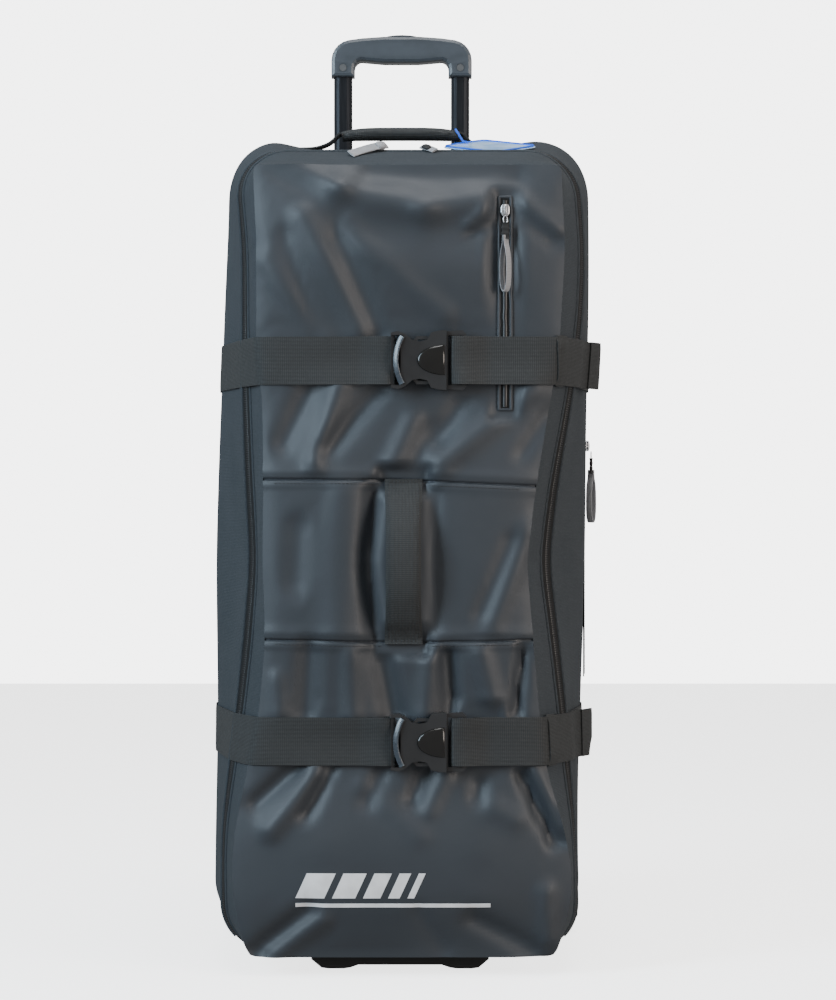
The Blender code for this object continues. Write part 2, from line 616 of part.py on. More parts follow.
def straps():
    for level, height in STRAP_HEIGHTS.items():
        left_strap(level, height)
        front, corner, along = right_strap(level, height)
        sleeve = keeper(level, height, corner, along)
        plug, arms = buckle(level, height)
        pivot(f"axis_{level}_plug", (MOUTH_X, BUCKLE_Y, height), plug, front, sleeve, *arms)


# ---------------------------------------------------------------- carry handles and tag


def front_handle():
    outline = ribbon(FRONT_HANDLE_PATH, FRONT_HANDLE_THICK)
    add(plate("front_handle", [outline], FRONT_HANDLE_HALF, SIDE, (FRONT_HANDLE_X, 0, 0)), WEBBING)


def top_handle():
    """A padded bar that swings between two sewn tabs."""
    steps = 12
    points, radii = [], []
    thin, thick = TOP_HANDLE_RADII
    for i in range(steps + 1):
        t = 2 * i / steps - 1
        swell = 1 - t ** 4
        points.append((t * TOP_HANDLE_HALF, TOP_HANDLE_Y, TOP_HANDLE_AXIS_Z + TOP_HANDLE_RISE * swell))
        radii.append((thin + (thick - thin) * swell) / thick)
    bar = add(tube("top_handle", points, thick, radii), WEBBING)
    pivot("axis_top_handle", (0, TOP_HANDLE_Y, TOP_HANDLE_AXIS_Z), bar)
    top = TOP_HANDLE_AXIS_Z + TOP_HANDLE_RADII[0]
    base = BODY_HIGH + GAP
    for name, sign in (("left", -1), ("right", 1)):
        x = TOP_HANDLE_HALF + 2 * GAP
        outline = [(x, base), (x + ANCHOR_LENGTH, base), (x + ANCHOR_LENGTH, base + ANCHOR_TOE)]
        outline += [(x + ANCHOR_TOE, top), (x, top)]
        outline = [(sign * px, z) for px, z in outline]
        place = (0, TOP_HANDLE_Y, 0)
        add(plate(f"top_handle_anchor_{name}", [outline], ANCHOR_HALF_DEPTH, FRONT, place), WEBBING)


def tag_height(x, y):
    return TAG_PLANE[0] + TAG_PLANE[1] * y + TAG_PLANE[2] * (x - TAG_CENTRE[0])


def luggage_tag():
    """A card in a frame, lying on the bag, and the cord loop that ties it to the end of the top handle."""
    length, width = TAG_SIZE
    hole = arc(-length / 2 + TAG_HOLE_INSET, 0, TAG_HOLE, 0, 330, 11)
    card = rounded(-length / 2, length / 2, -width / 2, width / 2, TAG_CORNER)
    cx, cy = TAG_CENTRE
    normal = Vector((-TAG_PLANE[2], -TAG_PLANE[1], 1)).normalized()
    across = normal.cross(Vector((math.cos(TAG_YAW), math.sin(TAG_YAW), 0))).normalized()
    along = across.cross(normal)
    tag = plate("luggage_tag", [card, hole], TAG_THICK / 2, FLAT, (0, 0, 0))
    frame = Matrix((along, across, normal)).transposed().to_4x4()
    tag.matrix_world = Matrix.Translation((cx, cy, tag_height(cx, cy))) @ frame
    add(tag, TAG_BLUE)
    eye = Vector((cx, cy, tag_height(cx, cy))) - along * (length / 2 - TAG_HOLE_INSET)
    lift = TAG_THICK / 2 + LOOP_CORD + 2 * GAP
    back = [
        (LOOP_X, TOP_HANDLE_Y + a, TOP_HANDLE_AXIS_Z + b) for a, b in arc(0, 0, LOOP_RADIUS, 90, -90, 8)
    ]
    behind = -along * 0.0075
    lower, upper = eye + behind - normal * lift, eye + behind + normal * lift
    path = back + [tuple(lower), tuple(eye - normal * lift), tuple(eye + normal * lift), tuple(upper)]
    cord = add(tube("tag_loop", path, LOOP_CORD, cyclic=True), CORD_BLUE)
    pivot("axis_luggage_tag", (LOOP_X, TOP_HANDLE_Y, TOP_HANDLE_AXIS_Z), tag, cord)


# ---------------------------------------------------------------- trolley handle


def hollow_tube(name, x, size, wall, low, high, look):
    outline, bore = oval(size), oval(size, wall)
    middle = (x, TUBE_Y, (low + high) / 2)
    return add(plate(name, [outline, bore], (high - low) / 2, FLAT, middle), look)


def grip_outline():
    """The U of the grip: crowned top, rounded shoulders, legs over the tubes."""
    half, leg = GRIP_HALF, GRIP_LEG
    right = [(half, GRIP_LOW)] + arc(half - GRIP_CORNER, GRIP_SHOULDER - GRIP_CORNER, GRIP_CORNER, 0, 80, 5)
    crown = [(x, GRIP_CROWN - (GRIP_CROWN - GRIP_SHOULDER) * (x / (half - 0.02)) ** 2) for x in (0.045, 0.02)]
    inner = GRIP_INNER_CORNER
    inside = arc(half - leg - inner, GRIP_UNDER - inner, inner, 80, 0, 3) + [(half - leg, GRIP_LOW)]
    under = [(0.02, GRIP_UNDER - GRIP_SAG)]
    outer = right + crown
    inner = under + inside
    return outer + [(-x, z) for x, z in reversed(outer)] + [(-x, z) for x, z in reversed(inner)] + inner


def trolley():
    for name, sign in (("left", -1), ("right", 1)):
        x = sign * TUBE_X
        hollow_tube(f"trolley_outer_tube_{name}", x, OUTER_TUBE, OUTER_WALL, OUTER_LOW, OUTER_HIGH, ALUMINIUM)
    moving = grip_parts()
    for name, sign in (("left", -1), ("right", 1)):
        high = GRIP_LOW + SOCKET_DEPTH - 2 * GAP
        moving.append(hollow_tube(
            f"trolley_inner_tube_{name}", sign * TUBE_X, INNER_TUBE, INNER_WALL, INNER_LOW, high, TUBE_BLACK))
    pivot("axis_trolley_slide", (0, TUBE_Y, GRIP_LOW), *moving)


def grip_parts():
    middle = Vector((0, TUBE_Y, 0))
    grip = as_mesh(plate("trolley_grip", [grip_outline()], GRIP_HALF_DEPTH, FRONT, middle, GRIP_BEVEL))
    clear = (INNER_TUBE[0] + 4 * GAP, INNER_TUBE[1] + 4 * GAP)
    for sign in (-1, 1):
        place = (sign * TUBE_X, TUBE_Y, GRIP_LOW)
        well = as_mesh(plate(f"cutter_leg_{sign}", [oval(clear)], SOCKET_DEPTH, FLAT, place))
        cut(grip, add_cutter(well))
        low = (sign * TUBE_X - ROD_CHANNEL_HALF, TUBE_Y - GRIP_CHANNEL_HALF_Y, GRIP_LOW + 0.004)
        high = (sign * TUBE_X + ROD_CHANNEL_HALF, TUBE_Y + GRIP_CHANNEL_HALF_Y, CHANNEL_LOW + 0.003)
        cut(grip, add_cutter(box(f"cutter_rod_way_{sign}", low, high)))
        hole = cylinder(f"cutter_screw_{sign}", SCREW_RADIUS + GAP, 0.004,
                        (sign * TUBE_X, TUBE_Y - GRIP_HALF_DEPTH, GRIP_LOW + SCREW_HEIGHT), FRONT, 16)
        cut(grip, add_cutter(hole))
    reach = TUBE_X + ROD_CHANNEL_HALF
    low = (-reach, TUBE_Y - GRIP_CHANNEL_HALF_Y, CHANNEL_LOW)
    cut(grip, add_cutter(box("cutter_bar_way", low, (reach, TUBE_Y + GRIP_CHANNEL_HALF_Y, CHANNEL_HIGH))))
    half = BUTTON_HALF + GAP
    low = (-half, TUBE_Y - BUTTON_SLOT_HALF_Y - GAP, CHANNEL_HIGH - 0.002)
    cut(grip, add_cutter(box("cutter_button", low, (half, TUBE_Y + BUTTON_SLOT_HALF_Y + GAP, GRIP_CROWN + 0.01))))
    add(grip, GRIP_GREY)
    moving = [grip]
    for name, sign in (("left", -1), ("right", 1)):
        place = (sign * TUBE_X, TUBE_Y - GRIP_HALF_DEPTH + SCREW_DEPTH / 2, GRIP_LOW + SCREW_HEIGHT)
        moving.append(add(cylinder(f"grip_screw_{name}", SCREW_RADIUS, SCREW_DEPTH, place, FRONT, 16), METAL))
    moving.append(release_button())
    return moving


def release_button():
    """The button with its cross bar, and the two rods that it pushes down the tubes."""
    radius, turn = BUTTON_CROWN_RADIUS, BUTTON_CROWN_TURN
    cap = arc(0, GRIP_CROWN + BUTTON_CROWN - radius, radius, 90 - turn, 90 + turn, 6)
    half = BUTTON_HALF - GAP
    cap = [(half, cap[0][1])] + cap[1:-1] + [(-half, cap[-1][1])]
    reach = TUBE_X + 0.0040
    bar_high = CHANNEL_HIGH - 0.0006
    bar_low = CHANNEL_LOW + BUTTON_TRAVEL + 0.0008
    outline = cap + [(-half, bar_high), (-reach, bar_high), (-reach, bar_low), (reach, bar_low),
                     (reach, bar_high), (half, bar_high)]
    button = plate("release_button", [outline], 0.0040, FRONT, (0, TUBE_Y, 0))
    add(button, BUTTON_GREY)
    rods = []
    high = bar_low - GAP
    for name, sign in (("left", -1), ("right", 1)):
        place = (sign * TUBE_X, TUBE_Y, (ROD_LOW + high) / 2)
        rods.append(add(cylinder(f"release_rod_{name}", ROD_RADIUS, high - ROD_LOW, place, FLAT, 16), METAL))
    return pivot("axis_release_button", (0, TUBE_Y, GRIP_CROWN), button, *rods)


def trolley_mounts():
    """The bezel in the bag's top, and the bracket that holds the outer tubes' feet."""
    x, y = BEZEL_HALF
    low, high = BODY_HIGH - BEZEL_DEPTH, BODY_HIGH + GAP + BEZEL_FLANGE
    middle = (0, TUBE_Y, (low + high) / 2)
    bezel = as_mesh(plate("trolley_bezel", [rounded(-x, x, -y, y, BEZEL_CORNER)], (high - low) / 2, FLAT, middle))
    clear = (INNER_TUBE[0] + 0.0010, INNER_TUBE[1] + 0.0010)
    for sign in (-1, 1):
        way = plate(f"cutter_bezel_{sign}", [oval(clear)], 0.02, FLAT, (sign * TUBE_X, TUBE_Y, BODY_HIGH))
        cut(bezel, add_cutter(as_mesh(way)))
    add(bezel, GRIP_GREY)
    low = (-BRACKET_HALF[0], TUBE_Y - BRACKET_HALF[1], OUTER_LOW - GAP - BRACKET_HEIGHT)
    high = (BRACKET_HALF[0], TUBE_Y + BRACKET_HALF[1], OUTER_LOW - GAP)
    add(box("trolley_bottom_bracket", low, high, bevel=0.002), BUCKLE_BLACK)


# ---------------------------------------------------------------- wheels, foot and skid


def wheel(name, sign):
    x = sign * WHEEL_X
    centre = (x, WHEEL_Y, WHEEL_RADIUS)
    along_x = (0, math.pi / 2, 0)
    shoulder, flat = WHEEL_RADIUS - 0.003, TYRE_HALF - 0.004
    tyre = add(turned(f"wheel_tyre_{name}", [
        (WHEEL_RADIUS, flat), (WHEEL_RADIUS, -flat), (shoulder, -TYRE_HALF), (TYRE_INNER, -TYRE_HALF),
        (TYRE_INNER, TYRE_HALF), (shoulder, TYRE_HALF),
    ], centre, along_x), RUBBER)
    rim, boss, boss_half = TYRE_INNER - GAP, 0.009, TYRE_HALF + 0.001
    hub = add(turned(f"wheel_hub_{name}", [
        (rim, HUB_HALF), (rim, -HUB_HALF), (boss, -HUB_HALF), (boss, -boss_half), (HUB_BORE, -boss_half),
        (HUB_BORE, boss_half), (boss, boss_half), (boss, HUB_HALF),
    ], centre, along_x), HUB_GREY)
    pivot(f"axis_wheel_{name}", centre, tyre, hub)
    ends = (HOUSING_X[0] + 0.001, HOUSING_X[1] - 0.001)
    axle_centre = (sign * sum(ends) / 2, WHEEL_Y, WHEEL_RADIUS)
    add(cylinder(f"wheel_axle_{name}", AXLE_RADIUS, ends[1] - ends[0], axle_centre, along_x, 24), METAL)

    (y0, y1), (z0, z1) = HOUSING_Y, HOUSING_Z
    big, small = HOUSING_CORNERS
    outline = [(y0, z0), (y1, z0)] + arc(y1 - big, z1 - big, big, 0, 90, 5)
    outline += arc(y0 + small, z1 - small, small, 90, 180, 3)
    half = (HOUSING_X[1] - HOUSING_X[0]) / 2
    place = (sign * (HOUSING_X[0] + half), 0, 0)
    housing = as_mesh(plate(f"wheel_housing_{name}", [outline], half, SIDE, place, HOUSING_BEVEL))
    well_centre = (sign * sum(WELL_X) / 2, WHEEL_Y, WHEEL_RADIUS)
    well = cylinder(f"cutter_well_{name}", WELL_RADIUS, WELL_X[1] - WELL_X[0], well_centre, along_x, 32)
    cut(housing, add_cutter(well))
    bore = cylinder(f"cutter_axle_{name}", AXLE_RADIUS + GAP, 0.2, axle_centre, along_x, 24)
    cut(housing, add_cutter(bore))
    add(housing, BUCKLE_BLACK)


def front_foot():
    """A bar under the front edge with two rounded feet."""
    top = BODY_LOW - GAP
    sole, reach = FOOT_SOLE_HALF, FOOT_BUMP_HALF
    bump = [(-reach, FOOT_BASE), (-sole * 1.9, FOOT_BASE / 4), (-sole, 0), (sole, 0), (sole * 1.9, FOOT_BASE / 4)]
    half = [(FOOT_BUMP_X + x, z) for x, z in bump] + [(FOOT_HALF, FOOT_BASE + 0.006), (FOOT_HALF, top)]
    outline = half + [(-x, z) for x, z in reversed(half)]
    depth = (FOOT_Y[1] - FOOT_Y[0]) / 2
    add(plate("front_foot", [outline], depth, FRONT, (0, sum(FOOT_Y) / 2, 0)), RUBBER)


def back_skid():
    """Two runners on the bag's back joined by a cross bar."""
    x0, x1 = SKID_X - SKID_HALF, SKID_X + SKID_HALF
    (low, high), (bar_low, bar_high) = SKID_Z, SKID_BAR_Z
    right = [(x0, bar_low), (x0, low), (x1, low), (x1, high), (x0, high), (x0, bar_high)]
    outline = right + [(-x, z) for x, z in reversed(right)]
    half = 0.003
    add(plate("back_skid", [outline], half, FRONT, (0, BACK_Y + GAP + half, 0)), BUCKLE_BLACK)


clear_scene()
PARTS = new_collection("ski_bag")
CUTTERS = new_collection("cutters")
FABRIC = material("ribbed_fabric", (0.060, 0.075, 0.090), 0.85)
NYLON = material("front_nylon", (0.055, 0.072, 0.090), 0.45)
TAPE_BLACK = material("zipper_tape", (0.012, 0.013, 0.014), 0.70)
WEBBING = material("webbing", (0.035, 0.037, 0.040), 0.75)
BUCKLE_BLACK = material("black_plastic", (0.015, 0.015, 0.016), 0.30)
METAL = material("zinc", (0.62, 0.63, 0.65), 0.25, 1.0)
PULL_GREY = material("pull_webbing", (0.45, 0.46, 0.47), 0.60)
BOARD_GREY = material("board", (0.10, 0.10, 0.11), 0.60)
ALUMINIUM = material("aluminium", (0.60, 0.61, 0.63), 0.35, 1.0)
TUBE_BLACK = material("black_anodised_tube", (0.030, 0.031, 0.034), 0.35, 0.6)
GRIP_GREY = material("grip_plastic", (0.10, 0.115, 0.135), 0.40)
BUTTON_GREY = material("button_plastic", (0.07, 0.08, 0.10), 0.45)
RUBBER = material("rubber", (0.012, 0.012, 0.012), 0.80)
HUB_GREY = material("hub_plastic", (0.09, 0.09, 0.095), 0.45)
TAG_BLUE = material("tag_plastic", (0.20, 0.62, 0.90), 0.30)
CORD_BLUE = material("tag_cord", (0.03, 0.18, 0.75), 0.40)

body_shell()
lid()
boards()
main_zipper()
pocket_zipper()
side_zipper()
straps()
front_handle()
top_handle()
luggage_tag()
trolley()
trolley_mounts()
for wheel_name, wheel_sign in (("left", -1), ("right", 1)):
    wheel(wheel_name, wheel_sign)
front_foot()
back_skid()
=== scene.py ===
"""Looks of the wheeled ski bag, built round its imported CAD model. Metres, +Z up, front towards -Y."""

import math

import bmesh
import bpy
import numpy as np
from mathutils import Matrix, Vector


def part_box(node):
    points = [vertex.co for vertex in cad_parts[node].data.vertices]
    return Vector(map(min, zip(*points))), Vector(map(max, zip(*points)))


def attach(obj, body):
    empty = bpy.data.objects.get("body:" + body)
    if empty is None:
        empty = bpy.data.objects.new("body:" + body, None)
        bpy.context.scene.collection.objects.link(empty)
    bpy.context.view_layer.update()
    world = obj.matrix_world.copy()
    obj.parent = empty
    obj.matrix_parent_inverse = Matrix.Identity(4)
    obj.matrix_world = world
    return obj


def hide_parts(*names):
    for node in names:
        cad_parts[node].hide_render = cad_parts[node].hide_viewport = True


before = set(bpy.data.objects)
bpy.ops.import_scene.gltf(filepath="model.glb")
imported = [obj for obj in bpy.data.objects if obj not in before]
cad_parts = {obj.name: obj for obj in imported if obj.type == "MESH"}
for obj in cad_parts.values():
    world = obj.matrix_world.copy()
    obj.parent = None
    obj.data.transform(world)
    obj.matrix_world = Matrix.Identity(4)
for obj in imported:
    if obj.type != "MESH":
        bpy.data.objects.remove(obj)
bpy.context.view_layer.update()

STRAPS = {"upper": 0.6406, "lower": 0.2454}
STRAP_HALF = 0.025
STRAP_BACK_Y = 0.115
WEB = 0.0016
BUCKLE_Y = -0.1665
SOCKET_BAR_X, PLUG_BAR_X, BAR_TURN = -0.0070, 0.0570, 0.0028

# Lifts of the webbing off the bag: the lower layer, far from a buckle's bar and at it, then the upper one.
UNDER_LIFT, UNDER_BAR_LIFT, OVER_LIFT, OVER_BAR_LIFT = 0.0006, 0.0054, 0.0032, 0.0110

# Ways along each strap from the bag's middle: where the left webbing leaves its bar and where it is
# sewn down, the front corner where the right webbing passes to the plug's piece, and the tail's end.
LEFT_START, LEFT_SEWN = -0.011, -0.034
STRAP_CORNER = {"upper": 0.166, "lower": 0.158}
TAIL_END = {"upper": 0.282, "lower": 0.272}
TAIL_FLARE, TAIL_FLARE_LENGTH = 0.012, 0.055

CAMERA_PLACE, CAMERA_LENS, CAMERA_SENSOR = (0.019, -2.7545, 0.496), 90, 36
WORLD_LIGHT, STAGE_SIZE, BACKDROP_Y = 0.44, 16, 4

# Sewn seams across the panel, as (x, height) from left to right.
SEAMS = (((-0.20, 0.518), (0.00, 0.5165), (0.20, 0.508)), ((-0.20, 0.352), (0.0, 0.348), (0.20, 0.3515)))
SEAM_DEPTH, SEAM_WIDTH = 0.0020, 0.0013

# Outlines seen from the front: (height, left edge, right edge).
PANEL_EDGE = (
    (0.018, -0.1560, 0.1600), (0.048, -0.1660, 0.1710), (0.085, -0.1735, 0.1785), (0.115, -0.1744, 0.1785),
    (0.153, -0.1713, 0.1710), (0.215, -0.1588, 0.1530), (0.267, -0.1474, 0.1459), (0.350, -0.1401, 0.1386),
    (0.434, -0.1432, 0.1324), (0.517, -0.1422, 0.1428), (0.600, -0.1432, 0.1570), (0.662, -0.1495, 0.1667),
    (0.756, -0.1495, 0.1719), (0.844, -0.1530, 0.1680),
)
ZIP_LINE = (
    (0.014, -0.1860, 0.1870), (0.072, -0.1855, 0.1854), (0.146, -0.1855, 0.1833), (0.215, -0.1770, 0.1769),
    (0.263, -0.1696, 0.1730), (0.348, -0.1590, 0.1620), (0.432, -0.1506, 0.1494), (0.517, -0.1569, 0.1610),
    (0.602, -0.1612, 0.1780), (0.690, -0.1620, 0.1907), (0.761, -0.1622, 0.1930), (0.851, -0.1718, 0.1854),
)
SILHOUETTE = (
    (0.014, -0.2060, 0.2000), (0.075, -0.2060, 0.1960), (0.186, -0.2045, 0.1960), (0.252, -0.2035, 0.1990),
    (0.363, -0.2050, 0.2030), (0.430, -0.2060, 0.2050), (0.562, -0.2020, 0.2060), (0.629, -0.1990, 0.2070),
    (0.717, -0.1960, 0.2085), (0.828, -0.1900, 0.2085), (0.880, -0.1900, 0.2070),
)
BACK_EDGE = ((0.020, -0.1945, 0.1945), (0.885, -0.1945, 0.1945))

# Rings of the bag, from the panel's edge to the back:
# y, (outline, outline, share of the second), lowest, highest, corner radius.
STATIONS = (
    (-0.1530, ("panel", "zip", 0.00), 0.0200, 0.8450, 0.006),
    (-0.1170, ("panel", "zip", 0.74), 0.0185, 0.8630, 0.048),
    (-0.1130, ("panel", "zip", 0.80), 0.0185, 0.8640, 0.050),
    (-0.1000, ("zip", "full", 0.16), 0.0190, 0.8660, 0.051),
    (-0.0600, ("zip", "full", 0.45), 0.0200, 0.8730, 0.054),
    (0.0000, ("zip", "full", 0.93), 0.0215, 0.8810, 0.058),
    (0.0300, ("zip", "full", 1.00), 0.0220, 0.8830, 0.060),
    (0.1200, ("full", "back", 0.60), 0.0220, 0.8850, 0.058),
    (0.1660, ("full", "back", 1.00), 0.0220, 0.8850, 0.055),
    (0.1760, ("full", "back", 1.00), 0.0250, 0.8820, 0.052),
)
SPACING = (6, 1, 2, 5, 7, 4, 8, 4, 2)
ZIP_FIRST, ZIP_LAST = 7, 9
NU, NV = 42, 104
COIL_PITCH, COIL_DIP = 0.0009, 0.35

# How much wider and taller than its room the fabric is cut, about the bag's middle height.
CUT_WIDER, CUT_TALLER, MIDDLE_HEIGHT = 1.025, 1.012, 0.45
CLOTH_FRAMES, CLOTH_PRESSURE = 22, 1.2

# How firmly the parts of the sheet keep their place while it settles.
FREE_HOLD, ZIP_HOLD, SIDE_HOLD, BACK_HOLD, TOP_HOLD, BASE_HOLD = 0.0002, 0.25, 0.01, 0.6, 0.8, 0.5
PANEL_LOW, PANEL_HIGH = STATIONS[0][2], STATIONS[0][3]
CORNER_LIFT = 0.010

# Where the panel lies flat, as (left, right, low, high): under the ends of the carry handle,
# along the pocket's zipper, and where the plug of each buckle slides.
FLAT_PLACES = (
    (-0.018, 0.026, 0.340, 0.356), (-0.018, 0.026, 0.508, 0.524), (0.1005, 0.1185, 0.585, 0.815),
    (0.062, 0.104, 0.214, 0.277), (0.062, 0.104, 0.609, 0.672),
)
FLAT_Y, FLAT_SOFT = -0.1562, 0.012

# Folds of the front: start (x, z), end (x, z), half-width and height, below zero for a valley.
FOLDS = (
    # The swag under the top edge, and the folds that fan from the top left corner.
    ((-0.135, 0.858), (-0.061, 0.820), 0.013, 0.007), ((-0.061, 0.820), (0.025, 0.797), 0.018, 0.008),
    ((0.025, 0.797), (0.100, 0.812), 0.015, 0.005), ((-0.030, 0.833), (0.120, 0.830), 0.014, -0.005),
    ((-0.056, 0.782), (0.075, 0.772), 0.022, -0.005), ((-0.100, 0.790), (-0.041, 0.676), 0.013, 0.006),
    ((-0.062, 0.765), (-0.022, 0.668), 0.012, -0.005), ((-0.140, 0.745), (-0.082, 0.664), 0.012, 0.004),
    ((-0.050, 0.772), (0.045, 0.690), 0.013, 0.004), ((0.073, 0.782), (0.101, 0.807), 0.006, 0.004),
    ((0.075, 0.772), (0.102, 0.785), 0.006, -0.004), ((0.126, 0.808), (0.166, 0.777), 0.008, 0.004),
    ((0.124, 0.790), (0.160, 0.764), 0.007, -0.004), ((-0.120, 0.770), (-0.085, 0.664), 0.009, -0.003),
    # Between the upper strap and the upper seam.
    ((-0.062, 0.616), (-0.088, 0.535), 0.011, 0.008), ((-0.094, 0.612), (-0.120, 0.555), 0.012, -0.007),
    ((-0.020, 0.612), (-0.075, 0.548), 0.011, -0.007), ((0.014, 0.580), (-0.012, 0.524), 0.011, 0.005),
    ((0.030, 0.570), (0.016, 0.530), 0.011, -0.004), ((0.140, 0.612), (0.045, 0.535), 0.013, 0.007),
    ((0.072, 0.612), (0.040, 0.560), 0.011, -0.006), ((0.128, 0.545), (0.156, 0.590), 0.009, -0.004),
    # Beside the carry handle.
    ((-0.027, 0.506), (-0.034, 0.438), 0.009, -0.012), ((-0.034, 0.422), (-0.026, 0.354), 0.009, -0.012),
    ((-0.058, 0.500), (-0.062, 0.365), 0.020, 0.007), ((-0.106, 0.466), (-0.109, 0.412), 0.014, -0.004),
    ((0.134, 0.465), (0.096, 0.368), 0.012, 0.005), ((0.116, 0.452), (0.085, 0.378), 0.010, -0.004),
    ((0.036, 0.504), (0.036, 0.362), 0.008, -0.004),
    # Gathers between the lower seam and the lower strap.
    ((-0.094, 0.340), (-0.098, 0.274), 0.013, -0.008), ((-0.051, 0.333), (-0.049, 0.272), 0.010, 0.006),
    ((-0.019, 0.336), (-0.006, 0.272), 0.014, -0.012), ((0.032, 0.333), (0.026, 0.272), 0.010, 0.006),
    ((0.050, 0.334), (0.055, 0.272), 0.009, -0.011), ((0.084, 0.336), (0.100, 0.272), 0.012, 0.007),
    ((0.128, 0.342), (0.121, 0.274), 0.006, -0.009), ((-0.128, 0.310), (-0.126, 0.274), 0.008, 0.004),
    # Folds that spread below the lower strap.
    ((-0.108, 0.219), (-0.150, 0.180), 0.009, -0.008), ((-0.086, 0.212), (-0.134, 0.154), 0.011, 0.008),
    ((-0.072, 0.219), (-0.096, 0.170), 0.008, -0.007), ((-0.016, 0.219), (-0.033, 0.183), 0.009, -0.005),
    ((0.050, 0.214), (0.031, 0.175), 0.009, 0.005), ((0.026, 0.219), (0.014, 0.186), 0.008, -0.007),
    ((0.085, 0.219), (0.081, 0.188), 0.009, -0.006), ((0.126, 0.212), (0.161, 0.140), 0.007, -0.010),
    ((0.141, 0.216), (0.172, 0.155), 0.007, 0.005), ((0.097, 0.178), (0.120, 0.166), 0.012, 0.004),
    ((-0.036, 0.200), (0.020, 0.150), 0.012, 0.003),
    # Creases out of the bottom corners.
    ((-0.150, 0.026), (-0.094, 0.072), 0.009, -0.007), ((-0.130, 0.024), (-0.080, 0.060), 0.009, 0.005),
    ((0.157, 0.018), (0.078, 0.062), 0.011, -0.008), ((0.154, 0.034), (0.152, 0.090), 0.009, 0.005),
    ((0.020, 0.070), (0.045, 0.030), 0.010, -0.003),
)


# ---------------------------------------------------------------- numbers and meshes


def smooth_table(table, blur=0.020):
    """The table's left and right edge as smooth functions of the height."""
    z = np.linspace(-0.1, 1.0, 551)
    step = z[1] - z[0]
    span = np.arange(-int(3 * blur / step), int(3 * blur / step) + 1) * step
    kernel = np.exp(-(span / blur) ** 2 / 2)
    kernel /= kernel.sum()
    rows = np.array(table)
    edges = []
    for column in (1, 2):
        values = np.interp(z, rows[:, 0], rows[:, column])
        padded = np.pad(values, len(span) // 2, mode="edge")
        edges.append(np.convolve(padded, kernel, mode="valid"))
    return lambda height: (np.interp(height, z, edges[0]), np.interp(height, z, edges[1]))


OUTLINES = {
    "panel": smooth_table(PANEL_EDGE, 0.010),
    "zip": smooth_table(ZIP_LINE),
    "full": smooth_table(SILHOUETTE, 0.035),
    "back": smooth_table(BACK_EDGE),
}


def ease(x, low, high):
    """0 below low, 1 above high, smooth between."""
    t = np.clip((np.asarray(x, float) - low) / (high - low), 0.0, 1.0)
    return t * t * (3 - 2 * t)


def unit(vectors):
    return vectors / np.maximum(np.linalg.norm(vectors, axis=-1, keepdims=True), 1e-12)


def extended(grid, axis):
    """The grid with one more row at each end of an axis, in line with the last two."""
    grid = np.moveaxis(grid, axis, 0)
    grid = np.concatenate([2 * grid[:1] - grid[1:2], grid, 2 * grid[-1:] - grid[-2:-1]])
    return np.moveaxis(grid, 0, axis)


def sample(grid, v, u):
    """Points of a grid between its rows (v) and columns (u), on a smooth cubic surface."""
    padded = extended(extended(grid, 0), 1)
    v, u = np.broadcast_arrays(np.asarray(v, float), np.asarray(u, float))
    row = np.clip(np.floor(v).astype(int), 0, grid.shape[0] - 2)
    column = np.clip(np.floor(u).astype(int), 0, grid.shape[1] - 2)

    def weights(f):
        first, second = (-f + 2 * f**2 - f**3) / 2, (2 - 5 * f**2 + 3 * f**3) / 2
        return first, second, (f + 4 * f**2 - 3 * f**3) / 2, (f**3 - f**2) / 2

    down, across = weights(v - row), weights(u - column)
    total = 0
    for a in range(4):
        for b in range(4):
            total = total + (down[a] * across[b])[..., None] * padded[row + a, column + b]
    return total


def grid_normals(grid):
    """Unit normals of a grid of points, to the side that (columns x rows) points to."""
    return unit(np.cross(np.gradient(grid, axis=1), np.gradient(grid, axis=0)))


def quads_between(index):
    """The quads of a grid of point numbers."""
    corners = [index[:-1, :-1], index[:-1, 1:], index[1:, 1:], index[1:, :-1]]
    return np.stack(corners, axis=-1).reshape(-1, 4)


def quads_round(index):
    """The quads between closed rings of point numbers."""
    near, far = index[:-1], index[1:]
    corners = [near, np.roll(near, -1, axis=1), np.roll(far, -1, axis=1), far]
    return np.stack(corners, axis=-1).reshape(-1, 4)


def rim_of(index):
    """The point numbers round the edge of a grid, in order."""
    return np.concatenate([index[0, :-1], index[:-1, -1], index[-1, :0:-1], index[:0:-1, 0]])


def half_steps(first, last):
    """Places half a grid step apart."""
    return np.arange(first, last + 0.25, 0.5)


def placed(line, at, places):
    """Points of a line at some places; at is the place of each of its own points."""
    return np.stack([np.interp(places, at, column) for column in line.T], axis=-1)


def distances(line):
    """The way along a line of points, at each of them."""
    return np.cumsum(np.r_[0, np.linalg.norm(np.diff(line, axis=0), axis=-1)])


def add_object(name, data):
    obj = bpy.data.objects.new(name, data)
    bpy.context.scene.collection.objects.link(obj)
    return obj


def tidy_mesh(mesh, outward):
    work = bmesh.new()
    work.from_mesh(mesh)
    bmesh.ops.remove_doubles(work, verts=work.verts, dist=1e-6)
    if outward:
        bmesh.ops.recalc_face_normals(work, faces=work.faces)
    work.to_mesh(mesh)
    work.free()


